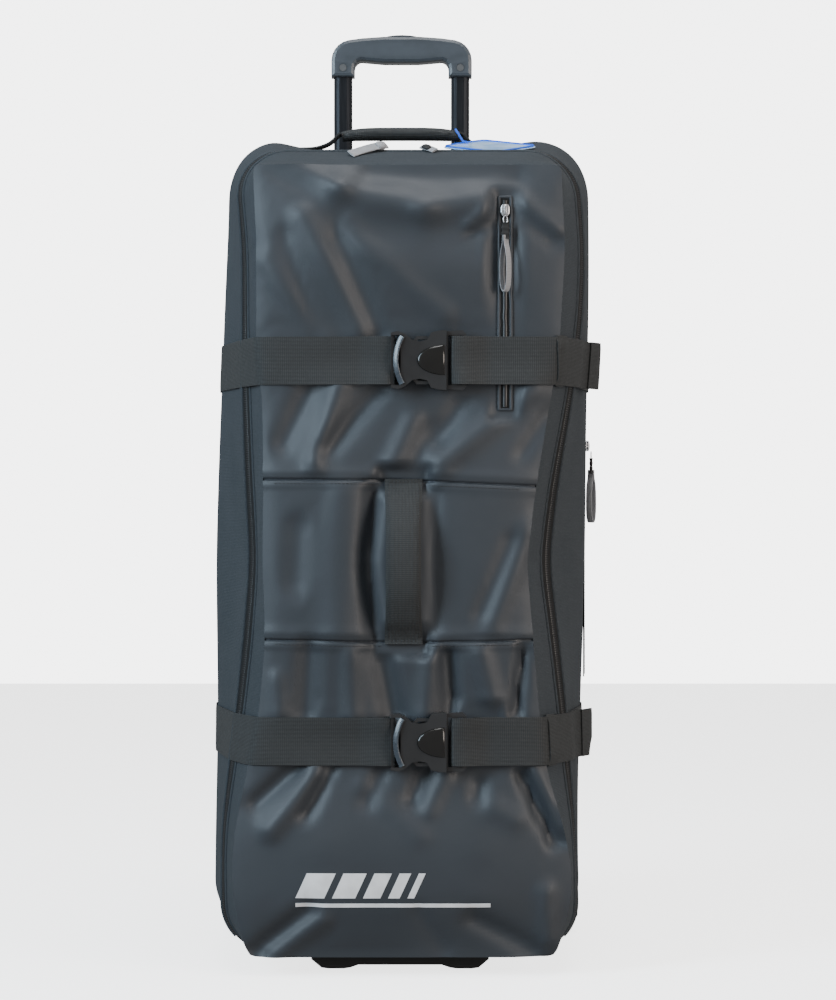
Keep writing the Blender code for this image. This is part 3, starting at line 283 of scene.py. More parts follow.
class Shape:
    """Collects points and faces, then makes them one object.

    Each point keeps a strip value: the metres along and across the piece, for its weave.
    """

    def __init__(self):
        self.points, self.faces, self.strip, self.count = [], [], [], 0

    def add(self, points, faces, strip=None):
        points = np.asarray(points, float).reshape(-1, 3)
        strip = points if strip is None else np.asarray(strip, float).reshape(-1, 3)
        self.points.append(points)
        self.strip.append(strip)
        self.faces += [tuple(int(i) + self.count for i in face) for face in faces]
        self.count += len(points)

    def grid(self, points, strip=None):
        """An open surface through a grid of points."""
        rows, columns = points.shape[:2]
        index = np.arange(rows * columns).reshape(rows, columns)
        self.add(points, quads_between(index), strip)

    def slab(self, points, normals, thick, low=0.0):
        """A strip of even thickness on a grid of points, its long edges rounded off."""
        rows, columns = points.shape[:2]
        inset = np.ones(columns)
        inset[[0, -1]] = 0.55
        middle, half = low + thick / 2, thick / 2 * inset[None, :, None]
        top, bottom = points + normals * (middle + half), points + normals * (middle - half)
        along, across = distances(points[:, columns // 2]), distances(points[rows // 2])
        strip = np.stack([*np.meshgrid(along, across, indexing="ij"), np.zeros((rows, columns))], axis=-1)
        index = np.arange(rows * columns).reshape(rows, columns)
        quads = quads_between(index)
        rim = rim_of(index)
        wall = np.stack([rim, np.roll(rim, -1), np.roll(rim, -1) + index.size, rim + index.size], axis=-1)
        faces = [*quads, *(quads[:, ::-1] + index.size), *wall]
        both = np.concatenate([top.reshape(-1, 3), bottom.reshape(-1, 3)])
        self.add(both, faces, np.concatenate([strip, strip]))

    def sweep(self, path, up, profile, closed=False):
        """A profile of (across, out) points carried along a path; up is the out direction at each point."""
        path = np.asarray(path, float)
        count = len(path)
        if closed:
            tangent = unit(np.roll(path, -1, axis=0) - np.roll(path, 1, axis=0))
        else:
            tangent = unit(np.gradient(path, axis=0))
        up = np.broadcast_to(np.asarray(up, float), path.shape)
        up = unit(up - (up * tangent).sum(-1, keepdims=True) * tangent)
        side = np.cross(tangent, up)
        profile = np.asarray(profile, float)
        profile = np.broadcast_to(profile, (count, *profile.shape[-2:]))
        sides = profile.shape[1]
        points = path[:, None] + side[:, None] * profile[..., :1] + up[:, None] * profile[..., 1:]
        along = distances(path)
        strip = np.concatenate([np.broadcast_to(along[:, None, None], (count, sides, 1)), profile], axis=-1)
        index = np.arange(count * sides).reshape(count, sides)
        if closed:
            index = np.concatenate([index, index[:1]])
        faces = [*quads_round(index)]
        if not closed:
            faces += [index[0, ::-1], index[-1]]
        self.add(points, faces, strip)

    def make(self, name, look, body, replaces=(), outward=True):
        mesh = bpy.data.meshes.new(name)
        mesh.from_pydata(np.concatenate(self.points).tolist(), [], self.faces)
        strip = mesh.attributes.new("strip", "FLOAT_VECTOR", "POINT")
        strip.data.foreach_set("vector", np.concatenate(self.strip).astype(np.float32).reshape(-1))
        tidy_mesh(mesh, outward)
        mesh.shade_smooth()
        mesh.set_sharp_from_angle(angle=math.radians(50))
        obj = add_object(name, mesh)
        mesh.materials.append(LOOKS[look])
        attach(obj, body)
        if replaces:
            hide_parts(*replaces)
        return obj


def circle(radius, count=10, flat=1.0):
    turn = np.linspace(0, 2 * math.pi, count, endpoint=False)
    return np.stack([radius * np.cos(turn), radius * flat * np.sin(turn)], axis=-1)


def rounded_box(half_width, half_height, radius, steps=4):
    """The outline of a rectangle with round corners, as (across, out) points."""
    points = []
    for quarter, (sx, sy) in enumerate(((1, 1), (-1, 1), (-1, -1), (1, -1))):
        for step in range(steps + 1):
            turn = math.pi / 2 * (quarter + step / steps)
            x = sx * (half_width - radius) + radius * math.cos(turn)
            y = sy * (half_height - radius) + radius * math.sin(turn)
            points.append((x, y))
    return np.array(points)


def smooth_path(points, count):
    """Points of a smooth curve through a few route points."""
    points = np.asarray(points, float)
    grid = np.stack([points, points], axis=1)
    return sample(grid, np.linspace(0, len(points) - 1, count), np.zeros(count))


# ---------------------------------------------------------------- materials


class Look:
    """A procedural material: a Principled shader with helpers for its colour, roughness and bump."""

    def __init__(self, name, colour, rough, metallic=0.0, **fixed):
        self.mat = bpy.data.materials.new(name)
        self.mat.use_nodes = True
        self.nodes, self.links = self.mat.node_tree.nodes, self.mat.node_tree.links
        self.bsdf = self.nodes["Principled BSDF"]
        self.bsdf.inputs["Base Color"].default_value = (*colour, 1)
        self.bsdf.inputs["Roughness"].default_value = rough
        self.bsdf.inputs["Metallic"].default_value = metallic
        for socket, value in fixed.items():
            self.bsdf.inputs[socket.replace("_", " ")].default_value = value
        self.colour, self.rough, self.normal = colour, rough, None
        self.place = self.nodes.new("ShaderNodeTexCoord").outputs["Object"]

    def node(self, kind, **values):
        made = self.nodes.new(kind)
        for key, value in values.items():
            if key in made.inputs:
                made.inputs[key].default_value = value
            else:
                setattr(made, key, value)
        return made

    def strip(self):
        return self.node("ShaderNodeAttribute", attribute_name="strip").outputs["Vector"]

    def noise(self, scale, detail=3.0, stretch=None, place=None):
        place = place or self.place
        if stretch:
            turn = self.node("ShaderNodeVectorMath", operation="MULTIPLY")
            turn.inputs[1].default_value = stretch
            self.links.new(place, turn.inputs[0])
            place = turn.outputs["Vector"]
        made = self.node("ShaderNodeTexNoise", Scale=scale, Detail=detail)
        self.links.new(place, made.inputs["Vector"])
        return made.outputs["Fac"]

    def bands(self, direction, pitch, place=None, wander=0.0):
        made = self.node("ShaderNodeTexWave", wave_type="BANDS", bands_direction=direction)
        made.inputs["Scale"].default_value = math.pi / 10 / pitch
        made.inputs["Distortion"].default_value = wander
        self.links.new(place or self.place, made.inputs["Vector"])
        return made.outputs["Fac"]

    def maths(self, operation, a, b):
        made = self.node("ShaderNodeMath", operation=operation)
        for socket, value in zip(made.inputs, (a, b)):
            if isinstance(value, (int, float)):
                socket.default_value = value
            else:
                self.links.new(value, socket)
        return made.outputs["Value"]

    def spread(self, factor, end, low, high):
        """A factor stretched From or To the range low..high."""
        made = self.node("ShaderNodeMapRange")
        made.inputs[f"{end} Min"].default_value = low
        made.inputs[f"{end} Max"].default_value = high
        self.links.new(factor, made.inputs["Value"])
        return made.outputs["Result"]

    def vary(self, factor, other, low=0.3, high=0.7):
        """The base colour runs to another one as factor goes from low to high."""
        share = self.spread(factor, "From", low, high)
        mix = self.node("ShaderNodeMix", data_type="RGBA")
        source = self.bsdf.inputs["Base Color"].links
        first, second, result = mix.inputs[6], mix.inputs[7], mix.outputs[2]
        if source:
            self.links.new(source[0].from_socket, first)
        else:
            first.default_value = (*self.colour, 1)
        second.default_value = (*other, 1)
        self.links.new(share, mix.inputs[0])
        self.links.new(result, self.bsdf.inputs["Base Color"])
        return self

    def gloss(self, factor, low, high):
        """The roughness runs from low to high with the factor."""
        self.links.new(self.spread(factor, "To", low, high), self.bsdf.inputs["Roughness"])
        return self

    def bump(self, height, depth, strength=1.0):
        made = self.node("ShaderNodeBump", Strength=strength, Distance=depth)
        self.links.new(height, made.inputs["Height"])
        if self.normal:
            self.links.new(self.normal, made.inputs["Normal"])
        self.normal = made.outputs["Normal"]
        self.links.new(self.normal, self.bsdf.inputs["Normal"])
        return self

    def edge_wear_and_highlight(self, colour, low=0.52, high=0.60):
        """Paler edges: rubbed wear on most plastic parts, and on the buckle's bar a painted highlight."""
        edge = self.node("ShaderNodeNewGeometry").outputs["Pointiness"]
        return self.vary(edge, colour, low, high)


def nylon():
    look = Look("front_nylon", (0.0250, 0.0300, 0.0365), 0.54, Specular_IOR_Level=0.40)
    look.vary(look.noise(9, 4), (0.031, 0.036, 0.043))
    look.gloss(look.noise(30, 4), 0.48, 0.60)
    weave = look.maths("MULTIPLY", look.bands("X", 0.0011), look.bands("Z", 0.0011))
    look.bump(weave, 0.0001, 0.35)
    look.bump(look.noise(45, 3), 0.0006, 0.5)
    return look.mat


def ribbed():
    look = Look("ribbed_fabric", (0.0270, 0.0330, 0.0390), 0.82, Specular_IOR_Level=0.22)
    look.vary(look.noise(14, 4), (0.034, 0.040, 0.046))
    grain = look.maths("ADD", look.bands("Z", 0.0016), look.bands("Y", 0.0022))
    look.vary(look.noise(900, 2), (0.050, 0.056, 0.062), 0.5, 0.8)
    look.bump(grain, 0.00025, 0.6)
    look.bump(look.noise(38, 3), 0.0010, 0.5)
    return look.mat


def webbing(name, colour, other, pitch=0.0014):
    look = Look(name, colour, 0.70, Specular_IOR_Level=0.25)
    strip = look.strip()
    ribs = look.bands("Y", pitch, strip)
    twill = look.bands("X", pitch * 1.4, strip)
    look.vary(look.maths("MULTIPLY", ribs, twill), other, 0.2, 0.9)
    look.bump(ribs, 0.00035, 0.8)
    look.bump(twill, 0.00015, 0.5)
    look.bump(look.noise(60, 3), 0.0006, 0.4)
    look.gloss(look.noise(300, 2), 0.60, 0.80)
    return look.mat


def moulded(name, colour, rough, grain=900, depth=0.00008, edge=None, **fixed):
    look = Look(name, colour, rough, **fixed)
    look.vary(look.noise(60, 4), tuple(c * 1.25 for c in colour))
    if edge:
        # paler edges: wear, and a painted highlight on the buckle's bar
        look.edge_wear_and_highlight(edge)
    look.gloss(look.noise(120, 4), rough - 0.06, rough + 0.10)
    look.bump(look.noise(grain, 2), depth, 0.5)
    return look.mat


def metal(name, colour, rough):
    look = Look(name, colour, rough, metallic=1.0)
    look.vary(look.noise(200, 4), tuple(c * 0.75 for c in colour))
    look.gloss(look.noise(400, 3), rough, rough + 0.18)
    look.bump(look.noise(700, 2), 0.00003, 0.4)
    return look.mat


def anodised():
    look = Look("black_anodised_tube", (0.020, 0.022, 0.026), 0.34, metallic=0.85)
    drawn = look.noise(40, 3, stretch=(40, 40, 0.6))
    look.vary(drawn, (0.036, 0.039, 0.045), 0.35, 0.75)
    look.gloss(drawn, 0.28, 0.46)
    look.bump(drawn, 0.00004, 0.4)
    return look.mat


def tag_look():
    look = Look("tag_plastic", (0.16, 0.42, 0.80), 0.22, Coat_Weight=0.5, Coat_Roughness=0.12)
    look.vary(look.noise(35, 2), (0.50, 0.70, 0.95), 0.35, 0.65)
    look.bump(look.noise(150, 3), 0.0002, 0.4)
    return look.mat


def thread():
    look = Look("thread", (0.010, 0.011, 0.012), 0.6)
    look.vary(look.noise(500, 2), (0.022, 0.023, 0.025))
    look.bump(look.bands("X", 0.0008, look.strip()), 0.0001, 0.6)
    return look.mat


LOOKS = {
    "nylon": nylon(),
    "ribbed": ribbed(),
    "webbing": webbing("webbing", (0.0230, 0.0245, 0.0250), (0.052, 0.054, 0.055)),
    "pull": webbing("pull_webbing", (0.26, 0.265, 0.28), (0.42, 0.425, 0.44), 0.0011),
    "tape": webbing("zipper_tape", (0.006, 0.0065, 0.007), (0.012, 0.0125, 0.013), 0.0009),
    "coil": moulded("zipper_coil", (0.008, 0.008, 0.009), 0.38),
    "plastic": moulded("black_plastic", (0.0055, 0.0050, 0.0050), 0.34, edge=(0.018, 0.018, 0.019)),
    "gloss": moulded("polished_plastic", (0.005, 0.0045, 0.004), 0.16, depth=0.00002),
    # painted reflection: this lighter blue-grey plastic and its brighter edges stand in for light off the
    # buckle's curved bar
    "painted_reflection": moulded("painted_reflection_plastic", (0.030, 0.038, 0.048), 0.26, edge=(0.09, 0.11, 0.13)),
    "grip": moulded("grip_plastic", (0.030, 0.037, 0.045), 0.36, edge=(0.060, 0.072, 0.085)),
    "button": moulded("button_plastic", (0.010, 0.012, 0.015), 0.34, edge=(0.024, 0.030, 0.036)),
    "rubber": moulded("rubber", (0.006, 0.006, 0.006), 0.72, 500, 0.0002),
    "tyre": moulded("tyre", (0.012, 0.012, 0.013), 0.66, 400, 0.0002),
    "hub": moulded("hub_plastic", (0.07, 0.07, 0.075), 0.42, edge=(0.14, 0.14, 0.15)),
    "print": moulded("silver_print", (0.62, 0.62, 0.63), 0.42, 300, 0.0001),
    "zinc": metal("zinc", (0.62, 0.63, 0.65), 0.20),
    "steel": metal("steel", (0.20, 0.21, 0.22), 0.32),
    "aluminium": metal("outer_tube", (0.58, 0.59, 0.61), 0.35),
    "anodised": anodised(),
    "tag": tag_look(),
    "cord": moulded("tag_cord", (0.004, 0.085, 0.55), 0.30),
    "board": moulded("board", (0.09, 0.09, 0.10), 0.6),
    "thread": thread(),
}

# ---------------------------------------------------------------- the bag's fabric


def rounded(s, t, names, low, high, radius, size=1.0):
    """Points of a waisted outline with round corners.

    s is -1..1 across and t is 0..1 up. A smaller size gives the same outline, drawn in towards its middle.
    """
    first, second, share = names
    height = low + t * (high - low)
    edges = [OUTLINES[first](height)[i] * (1 - share) + OUTLINES[second](height)[i] * share for i in (0, 1)]
    middle, half = (edges[0] + edges[1]) / 2, (edges[1] - edges[0]) / 2
    x, z = s * half, height - (low + high) / 2
    r = radius * size
    cx, cz = size * half - r, size * (high - low) / 2 - r
    dx, dz = np.abs(x) - cx, np.abs(z) - cz
    corner = (dx > 0) & (dz > 0)
    reach = np.maximum(dx, dz) / np.maximum(np.hypot(dx, dz), 1e-9)
    x = np.where(corner, np.sign(x) * (cx + dx * reach), x)
    z = np.where(corner, np.sign(z) * (cz + dz * reach), z)
    return middle + x, z + (low + high) / 2


def make_sheet():
    """The fabric as one sheet: points, quads, and the point numbers of the front's grid and the rings."""
    s, t = np.meshgrid(np.linspace(-1, 1, NU + 1), np.linspace(0, 1, NV + 1))
    size = np.maximum(np.abs(s), np.abs(2 * t - 1))
    x, z = rounded(s, t, *STATIONS[0][1:], size)
    points = [np.stack([x, STATIONS[0][0] - 0.0045 * (1 - size**10), z], axis=-1).reshape(-1, 3)]
    grid = np.arange((NU + 1) * (NV + 1)).reshape(NV + 1, NU + 1)
    around = rim_of(grid)
    ring_s, ring_t = s.reshape(-1)[around], t.reshape(-1)[around]
    rings, count = [around], len(points[0])
    for a, b, steps in zip(STATIONS, STATIONS[1:], SPACING):
        near, far = (np.stack(rounded(ring_s, ring_t, *row[1:]), axis=-1) for row in (a, b))
        for step in range(1, steps + 1):
            share = step / steps
            across = near + (far - near) * share
            y = np.full(len(around), a[0] + (b[0] - a[0]) * share)
            points.append(np.stack([across[:, 0], y, across[:, 1]], axis=-1))
            rings.append(np.arange(count, count + len(around)))
            count += len(around)
    quads = [quads_between(grid)]
    for a, b in zip(rings, rings[1:]):
        quads.append(np.stack([a, b, np.roll(b, -1), np.roll(a, -1)], axis=-1))
    return np.concatenate(points), np.concatenate(quads), grid, np.array(rings)


def held_share(points, rings):
    """How firmly each point keeps its place: 1 under the straps and on the boards, little elsewhere."""
    x, y, z = points.T
    goal = np.full(len(points), FREE_HOLD)
    goal[rings[ZIP_FIRST:ZIP_LAST + 1].reshape(-1)] = ZIP_HOLD
    goal[rings[ZIP_LAST + 1:].reshape(-1)] = SIDE_HOLD
    goal = np.maximum(goal, BACK_HOLD * ease(y, 0.10, 0.16))
    goal = np.where(y > 0.165, 1.0, goal)
    for height in STRAPS.values():
        goal = np.maximum(goal, 1.0 - ease(np.abs(z - height), STRAP_HALF - 0.004, STRAP_HALF + 0.003))
    goal = np.where((pressed(x, z) > 0.8) & (y < -0.14), 1.0, goal)
    on_top = (z > 0.87) & (np.abs(x) < 0.10) & (y > 0.0)
    goal = np.where(on_top, TOP_HOLD, goal)
    return np.maximum(goal, BASE_HOLD * (1 - ease(z, 0.020, 0.036)))


def pressed(x, z):
    """1 where the panel lies flat, 0 away from there."""
    share = np.zeros_like(x)
    for left, right, low, high in FLAT_PLACES:
        across = ease(x, left - FLAT_SOFT, left) * (1 - ease(x, right, right + FLAT_SOFT))
        up = ease(z, low - FLAT_SOFT, low) * (1 - ease(z, high, high + FLAT_SOFT))
        share = np.maximum(share, across * up)
    return share


def folded(points, grid):
    """The sheet before it settles: fuller between the straps, with the folds pushed in."""
    made = points.copy()
    x, y, z = points.T
    upper, lower = STRAPS["upper"], STRAPS["lower"]
    puff = 0.011 * ease(z, upper + 0.025, upper + 0.12) * (1 - ease(z, 0.79, 0.86))
    puff = puff + 0.007 * ease(z, lower + 0.03, lower + 0.12) * (1 - ease(z, upper - 0.12, upper - 0.03))
    puff = puff + 0.013 * ease(z, 0.025, 0.09) * (1 - ease(z, lower - 0.12, lower - 0.025))
    made[:, 1] -= puff * (1 - ease(y, -0.150, -0.06)) * (1 - 0.7 * ease(np.abs(x), 0.07, 0.17))
    made[:, 2] += CORNER_LIFT * ease(z, 0.80, 0.87) * ease(np.abs(x), 0.085, 0.150) * ease(y, -0.10, 0.0)
    front = np.arange(grid.size)
    for (x0, z0), (x1, z1), width, height in FOLDS:
        run = np.array([x1 - x0, z1 - z0])
        share = np.clip(((x[front] - x0) * run[0] + (z[front] - z0) * run[1]) / (run @ run), 0, 1)
        away = np.hypot(x[front] - x0 - share * run[0], z[front] - z0 - share * run[1])
        made[front, 1] -= height * np.exp(-((away / width) ** 2))
    made[front, 1] += (FLAT_Y - made[front, 1]) * pressed(x[front], z[front])
    return made


def simulate(points, quads, rest, goal):
    """Where Blender's cloth settles the sheet.

    The sheet is cut to the rest shape, and goal is how firmly each point keeps its place.
    """
    mesh = bpy.data.meshes.new("cloth_run")
    mesh.from_pydata(points.tolist(), [], quads.tolist())
    obj = add_object("cloth_run", mesh)
    obj.shape_key_add(name="Basis")
    key = obj.shape_key_add(name="cut")
    key.data.foreach_set("co", rest.reshape(-1))
    key.value = 0.0
    group = obj.vertex_groups.new(name="held")
    for index, weight in enumerate(np.clip(goal, 0, 1) ** 0.25):
        group.add([index], float(weight), "REPLACE")
    cloth = obj.modifiers.new("cloth", "CLOTH")
    settings = cloth.settings
    settings.quality = 5
    settings.mass = 0.25
    settings.tension_stiffness = settings.compression_stiffness = 25
    settings.shear_stiffness = 12
    settings.bending_stiffness = 0.4
    settings.tension_damping = settings.compression_damping = settings.shear_damping = 15
    settings.air_damping = 4
    settings.vertex_group_mass = group.name
    settings.rest_shape_key = key
    settings.use_pressure = True
    settings.uniform_pressure_force = CLOTH_PRESSURE
    settings.effector_weights.gravity = 0
    cloth.collision_settings.use_collision = False
    cloth.point_cache.frame_start, cloth.point_cache.frame_end = 1, CLOTH_FRAMES
    scene = bpy.context.scene
    for number in range(1, CLOTH_FRAMES + 1):
        scene.frame_set(number)
    settled = obj.evaluated_get(bpy.context.evaluated_depsgraph_get())
    result = np.empty(len(points) * 3)
    settled.to_mesh().vertices.foreach_get("co", result)
    settled.to_mesh_clear()
    scene.frame_set(1)
    bpy.data.objects.remove(obj)
    return result.reshape(-1, 3)


def cut_shape(points):
    """The size that the fabric was cut to: a little more than the room it has."""
    rest = points.copy()
    rest[:, 0] *= CUT_WIDER
    rest[:, 2] = MIDDLE_HEIGHT + (rest[:, 2] - MIDDLE_HEIGHT) * CUT_TALLER
    return rest


class Bag:
    """The settled fabric, and where things lie on it."""

    def __init__(self):
        points, quads, grid, rings = make_sheet()
        start = folded(points, grid)
        start = simulate(start, quads, cut_shape(start), held_share(points, rings))
        self.panel = start[grid]
        self.rings = start[rings]
        corners = [0, NU, NU + NV, 2 * NU + NV, 2 * (NU + NV)]
        self.sides = []
        for a, b in zip(corners, corners[1:]):
            columns = np.arange(a, b + 1) % (2 * (NU + NV))
            self.sides.append(self.rings[:, columns])

    def front(self, x, z, lift=0.0):
        """Points on the front panel at places (x, height), lifted off it."""
        x, z = np.broadcast_arrays(np.asarray(x, float), np.asarray(z, float))
        left, right = OUTLINES["panel"](z)
        u = (x - left) / (right - left) * NU
        v = (z - PANEL_LOW) / (PANEL_HIGH - PANEL_LOW) * NV
        here = sample(self.panel, v, u)
        across, up = sample(self.panel, v, u + 0.2) - here, sample(self.panel, v + 0.2, u) - here
        normal = unit(np.cross(across, up))
        return here + normal * lift, normal

    def on_top(self, ring, x, lift):
        """A point on the bag's top at a place along one of its rings, lifted off the fabric."""
        line = sample(self.sides[2], float(ring), np.arange(NU + 1))
        y, z = (np.interp(x, line[::-1, 0], line[::-1, axis]) for axis in (1, 2))
        return np.array([x, y - 0.5 * lift, z + 0.87 * lift])

    def section(self, height):
        """The bag's outline at a height as (x, y), from the left back round the front to the right back."""
        right, left = self.sides[1], self.sides[3]
        lines = []
        for side, flip in ((left, True), (right, False)):
            line = []
            for row in side:
                row = row[::-1] if flip else row
                line.append(placed(row[:, :2], row[:, 2], height))
            lines.append(np.array(line))
        panel = []
        for column in range(NU + 1):
            row = self.panel[:, column]
            panel.append(placed(row[:, :2], row[:, 2], height))
        return np.concatenate([lines[0][::-1], np.array(panel)[1:-1], lines[1]])

    def taut(self, height):
        """A taut band's line at a height: the way from x = 0, and the (x, y) hull of the section."""
        hull = []
        for point in self.section(height):
            while len(hull) > 1 and np.cross(hull[-1] - hull[-2], point - hull[-1]) < 1e-9:
                hull.pop()
            hull.append(point)
        hull = np.array(hull)
        way = distances(hull)
        way -= np.interp(0.0, hull[:, 0], way)
        return way, hull


def seam_depth(x, z):
    """How far the sewn seams pull the panel in, with the fuller fabric just above each."""
    depth = 0.0
    for seam in SEAMS:
        off = z - np.interp(x, *np.array(seam).T)
        depth = depth + SEAM_DEPTH * np.exp(-((off / SEAM_WIDTH) ** 2))
        above, below = ((off - 0.008) / 0.006) ** 2, ((off + 0.006) / 0.004) ** 2
        fuller = 0.0014 * np.exp(-above) + 0.0008 * np.exp(-below)
        depth = depth - fuller * (1 - pressed(x, z))
    return depth


def fabric_pieces(bag):
    """The panel, gusset, zipper tape and body, each on its own stretch of the settled sheet."""
    rows = [half_steps(0, NV)]
    for seam in SEAMS:
        middle = (seam[1][1] - PANEL_LOW) / (PANEL_HIGH - PANEL_LOW) * NV
        rows.append(middle + np.arange(-1.5, 1.6, 0.1))
    rows = np.unique(np.round(np.concatenate(rows), 3))
    v, u = np.meshgrid(rows, half_steps(0, NU), indexing="ij")
    skin = sample(bag.panel, v, u)
    normals = grid_normals(skin)
    skin = skin - normals * seam_depth(skin[..., 0], skin[..., 2])[..., None]
    shape = Shape()
    shape.grid(skin)
    nodes = ["lid_front_panel"]
    shape.make("front_panel_fabric", "nylon", "root", nodes, outward=False)

    last = len(bag.rings) - 1
    stretches = (
        ("lid_gusset_fabric", 0, ZIP_FIRST, "ribbed", "ribbed_fabric", ["lid_gusset"]),
        ("main_zipper_tape_fabric", ZIP_FIRST, ZIP_LAST, "tape", "zipper_tape", ["main_zipper_tape"]),
        ("body_fabric", ZIP_LAST, last, "ribbed", "ribbed_fabric", ["body_shell"]),
    )
    for name, first, final, look, slot, nodes in stretches:
        shape = Shape()
        for side in bag.sides:
            v, u = np.meshgrid(half_steps(first, final), half_steps(0, side.shape[1] - 1), indexing="ij")
            patch = sample(side, v, u)
            if look == "tape":
                inward = 0.0015 * np.sin(math.pi * (v - first) / (final - first))
                patch = patch - grid_normals(patch) * inward[..., None]
            shape.grid(patch)
        if final == last:
            back_panel(shape, bag.rings[-1])
        shape.make(name, look, "root", nodes, outward=True)


def back_panel(shape, ring):
    """Closes the body at the back, slightly hollow over its board."""
    middle = ring.mean(axis=0)
    rows = []
    for share in (1.0, 0.97, 0.93, 0.85, 0.7, 0.5, 0.25, 0.0):
        row = middle + (ring - middle) * share
        row[:, 1] = ring[:, 1] + 0.004 * ease(1 - share, 0.0, 0.07)
        rows.append(row)
    grid = np.array(rows)
    grid = np.concatenate([grid, grid[:, :1]], axis=1)
    shape.grid(grid)


def ring_line(bag, ring, low=0.030):
    """A ring of the sheet as a line up the left side, over the top and down the right side."""
    left, top, right = bag.sides[3][ring], bag.sides[2][ring], bag.sides[1][ring]
    line = np.concatenate([left[::-1], top[::-1][1:], right[::-1][1:]])
    steps = half_steps(0, len(line) - 1)
    line = sample(np.stack([line, line], axis=1), steps, np.zeros(len(steps)))
    return line[line[:, 2] > low]


def evenly(line, pitch):
    """The line's points again, at even distances."""
    way = distances(line)
    places = np.linspace(0, way[-1], max(2, int(way[-1] / pitch)))
    return placed(line, way, places)


def outward_from(line, before, after):
    """The fabric's outward direction along a ring line, from the ring lines on both sides of it."""
    tangent = unit(np.gradient(line, axis=0))
    lengths = [len(row) for row in (before, after)]
    picks = [row[np.linspace(0, n - 1, len(line)).astype(int)] for row, n in zip((before, after), lengths)]
    normal = unit(np.cross(tangent, picks[1] - picks[0]))
    centre = np.array([0.0, 0.30, 0.45])
    turned = np.sign(((line - centre) * normal).sum(-1, keepdims=True))
    return unit(normal * turned)


def zipper_coil(name, line, out, profile):
    """A zipper's coil: a flat tube along a line, with every second ring lower."""
    lower = 1 - COIL_DIP * (np.arange(len(line)) % 2)
    coil = Shape()
    coil.sweep(line, out, profile[None] * np.stack([np.ones(len(line)), lower], axis=-1)[:, None])
    coil.make(name, "coil", "root")


def main_zipper(bag):
    """The coil, and the piping on both sides of the tape."""
    lines = [evenly(ring_line(bag, ring), 0.0012) for ring in (ZIP_FIRST, ZIP_FIRST + 1, ZIP_LAST)]
    outward = outward_from(lines[1], lines[0], lines[2])
    zipper_coil("main_zipper_coil", lines[1] + outward * 0.0002, outward, circle(0.0031, 8, 0.55))
    piping = Shape()
    for line in (lines[0], lines[2]):
        line = evenly(line, 0.004)
        piping.sweep(line, outward_from(line, lines[0], lines[2]), circle(0.0021, 10))
    piping.make("main_zipper_piping", "ribbed", "root")


# ---------------------------------------------------------------- stitches and front details


def stitches(shape, line, normals, pitch=0.0042, length=0.0028, radius=0.00032):
    """Short thread dashes along a line on a surface."""
    way = distances(line)
    for place in np.arange(pitch / 2, way[-1] - length, pitch):
        ends = placed(line, way, (place, place + length))
        out = normals[min(int(np.searchsorted(way, place)), len(normals) - 1)]
        middle = ends.mean(axis=0) + out * radius
        path = np.array([ends[0] - out * radius * 0.5, middle, ends[1] - out * radius * 0.5])
        shape.sweep(path, out, circle(radius, 5))


def seam_threads(bag):
    """A row of stitches under each seam across the panel."""
    shape = Shape()
    for seam in SEAMS:
        for low, high in ((-0.132, -0.020), (0.032, 0.124)):
            x = np.linspace(low, high, 60)
            z = np.interp(x, *np.array(seam).T) - 0.0042
            line, normals = bag.front(x, z)
            stitches(shape, line + normals * 0.0010, normals)
    shape.make("seam_stitching", "thread", "root")


def pocket_zipper(bag):
    """Welts, tape and coil of the front pocket's zipper, let into the panel."""
    low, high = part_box("pocket_zipper_tape")
    x, half = (low.x + high.x) / 2, 0.0066
    z = np.linspace(low.z, high.z, 110)
    across = np.linspace(-half, half, 7)
    grid, normals = bag.front(x + across[None, :], z[:, None])
    tape = Shape()
    tape.slab(grid, normals, 0.0010, -0.0002)
    tape.make("pocket_zipper_tape_cloth", "tape", "root", ["pocket_zipper_tape"])
    welts = Shape()
    for side in (-1, 1):
        line, out = bag.front(x + side * (half - 0.0004), z, 0.0008)
        welts.sweep(line, out, circle(0.0016, 8, 0.7))
    for end in (low.z, high.z):
        line, out = bag.front(x + across, end, 0.0008)
        welts.sweep(line, out, circle(0.0014, 8, 0.7))
    welts.make("pocket_zipper_welts", "nylon", "root")
    line, out = bag.front(x, np.arange(low.z + 0.003, high.z - 0.003, COIL_PITCH), 0.0014)
    zipper_coil("pocket_zipper_coil", line, out, circle(0.0021, 8, 0.55))
    threads = Shape()
    for side in (-1, 1):
        line, out = bag.front(x + side * (half + 0.0026), z, 0.0001)
        stitches(threads, line, out)
    threads.make("pocket_zipper_stitching", "thread", "root")


def printed_mark(bag):
    """A plain geometric print low on the front: a row of slanted bars over a thin line."""
    shape = Shape()
    bars = ((-0.108, 0.030), (-0.070, 0.024), (-0.038, 0.018), (-0.012, 0.012), (0.008, 0.007))
    rows = np.linspace(0, 1, 9)
    for start, width in bars:
        across = np.linspace(0, width, 9)
        x = start + across[None, :] + 0.012 * rows[:, None]
        z = np.broadcast_to(0.084 + 0.026 * rows[:, None], x.shape)
        grid, normals = bag.front(x, z)
        shape.slab(grid, normals, 0.0003, 0.0001)
    x = np.linspace(-0.108, 0.094, 90)[None, :]
    z = np.linspace(0.0745, 0.0785, 3)[:, None]
    grid, normals = bag.front(np.broadcast_to(x, (3, 90)), np.broadcast_to(z, (3, 90)))
    shape.slab(grid, normals, 0.0003, 0.0001)
    shape.make("front_print", "print", "root")


# ---------------------------------------------------------------- straps and buckles


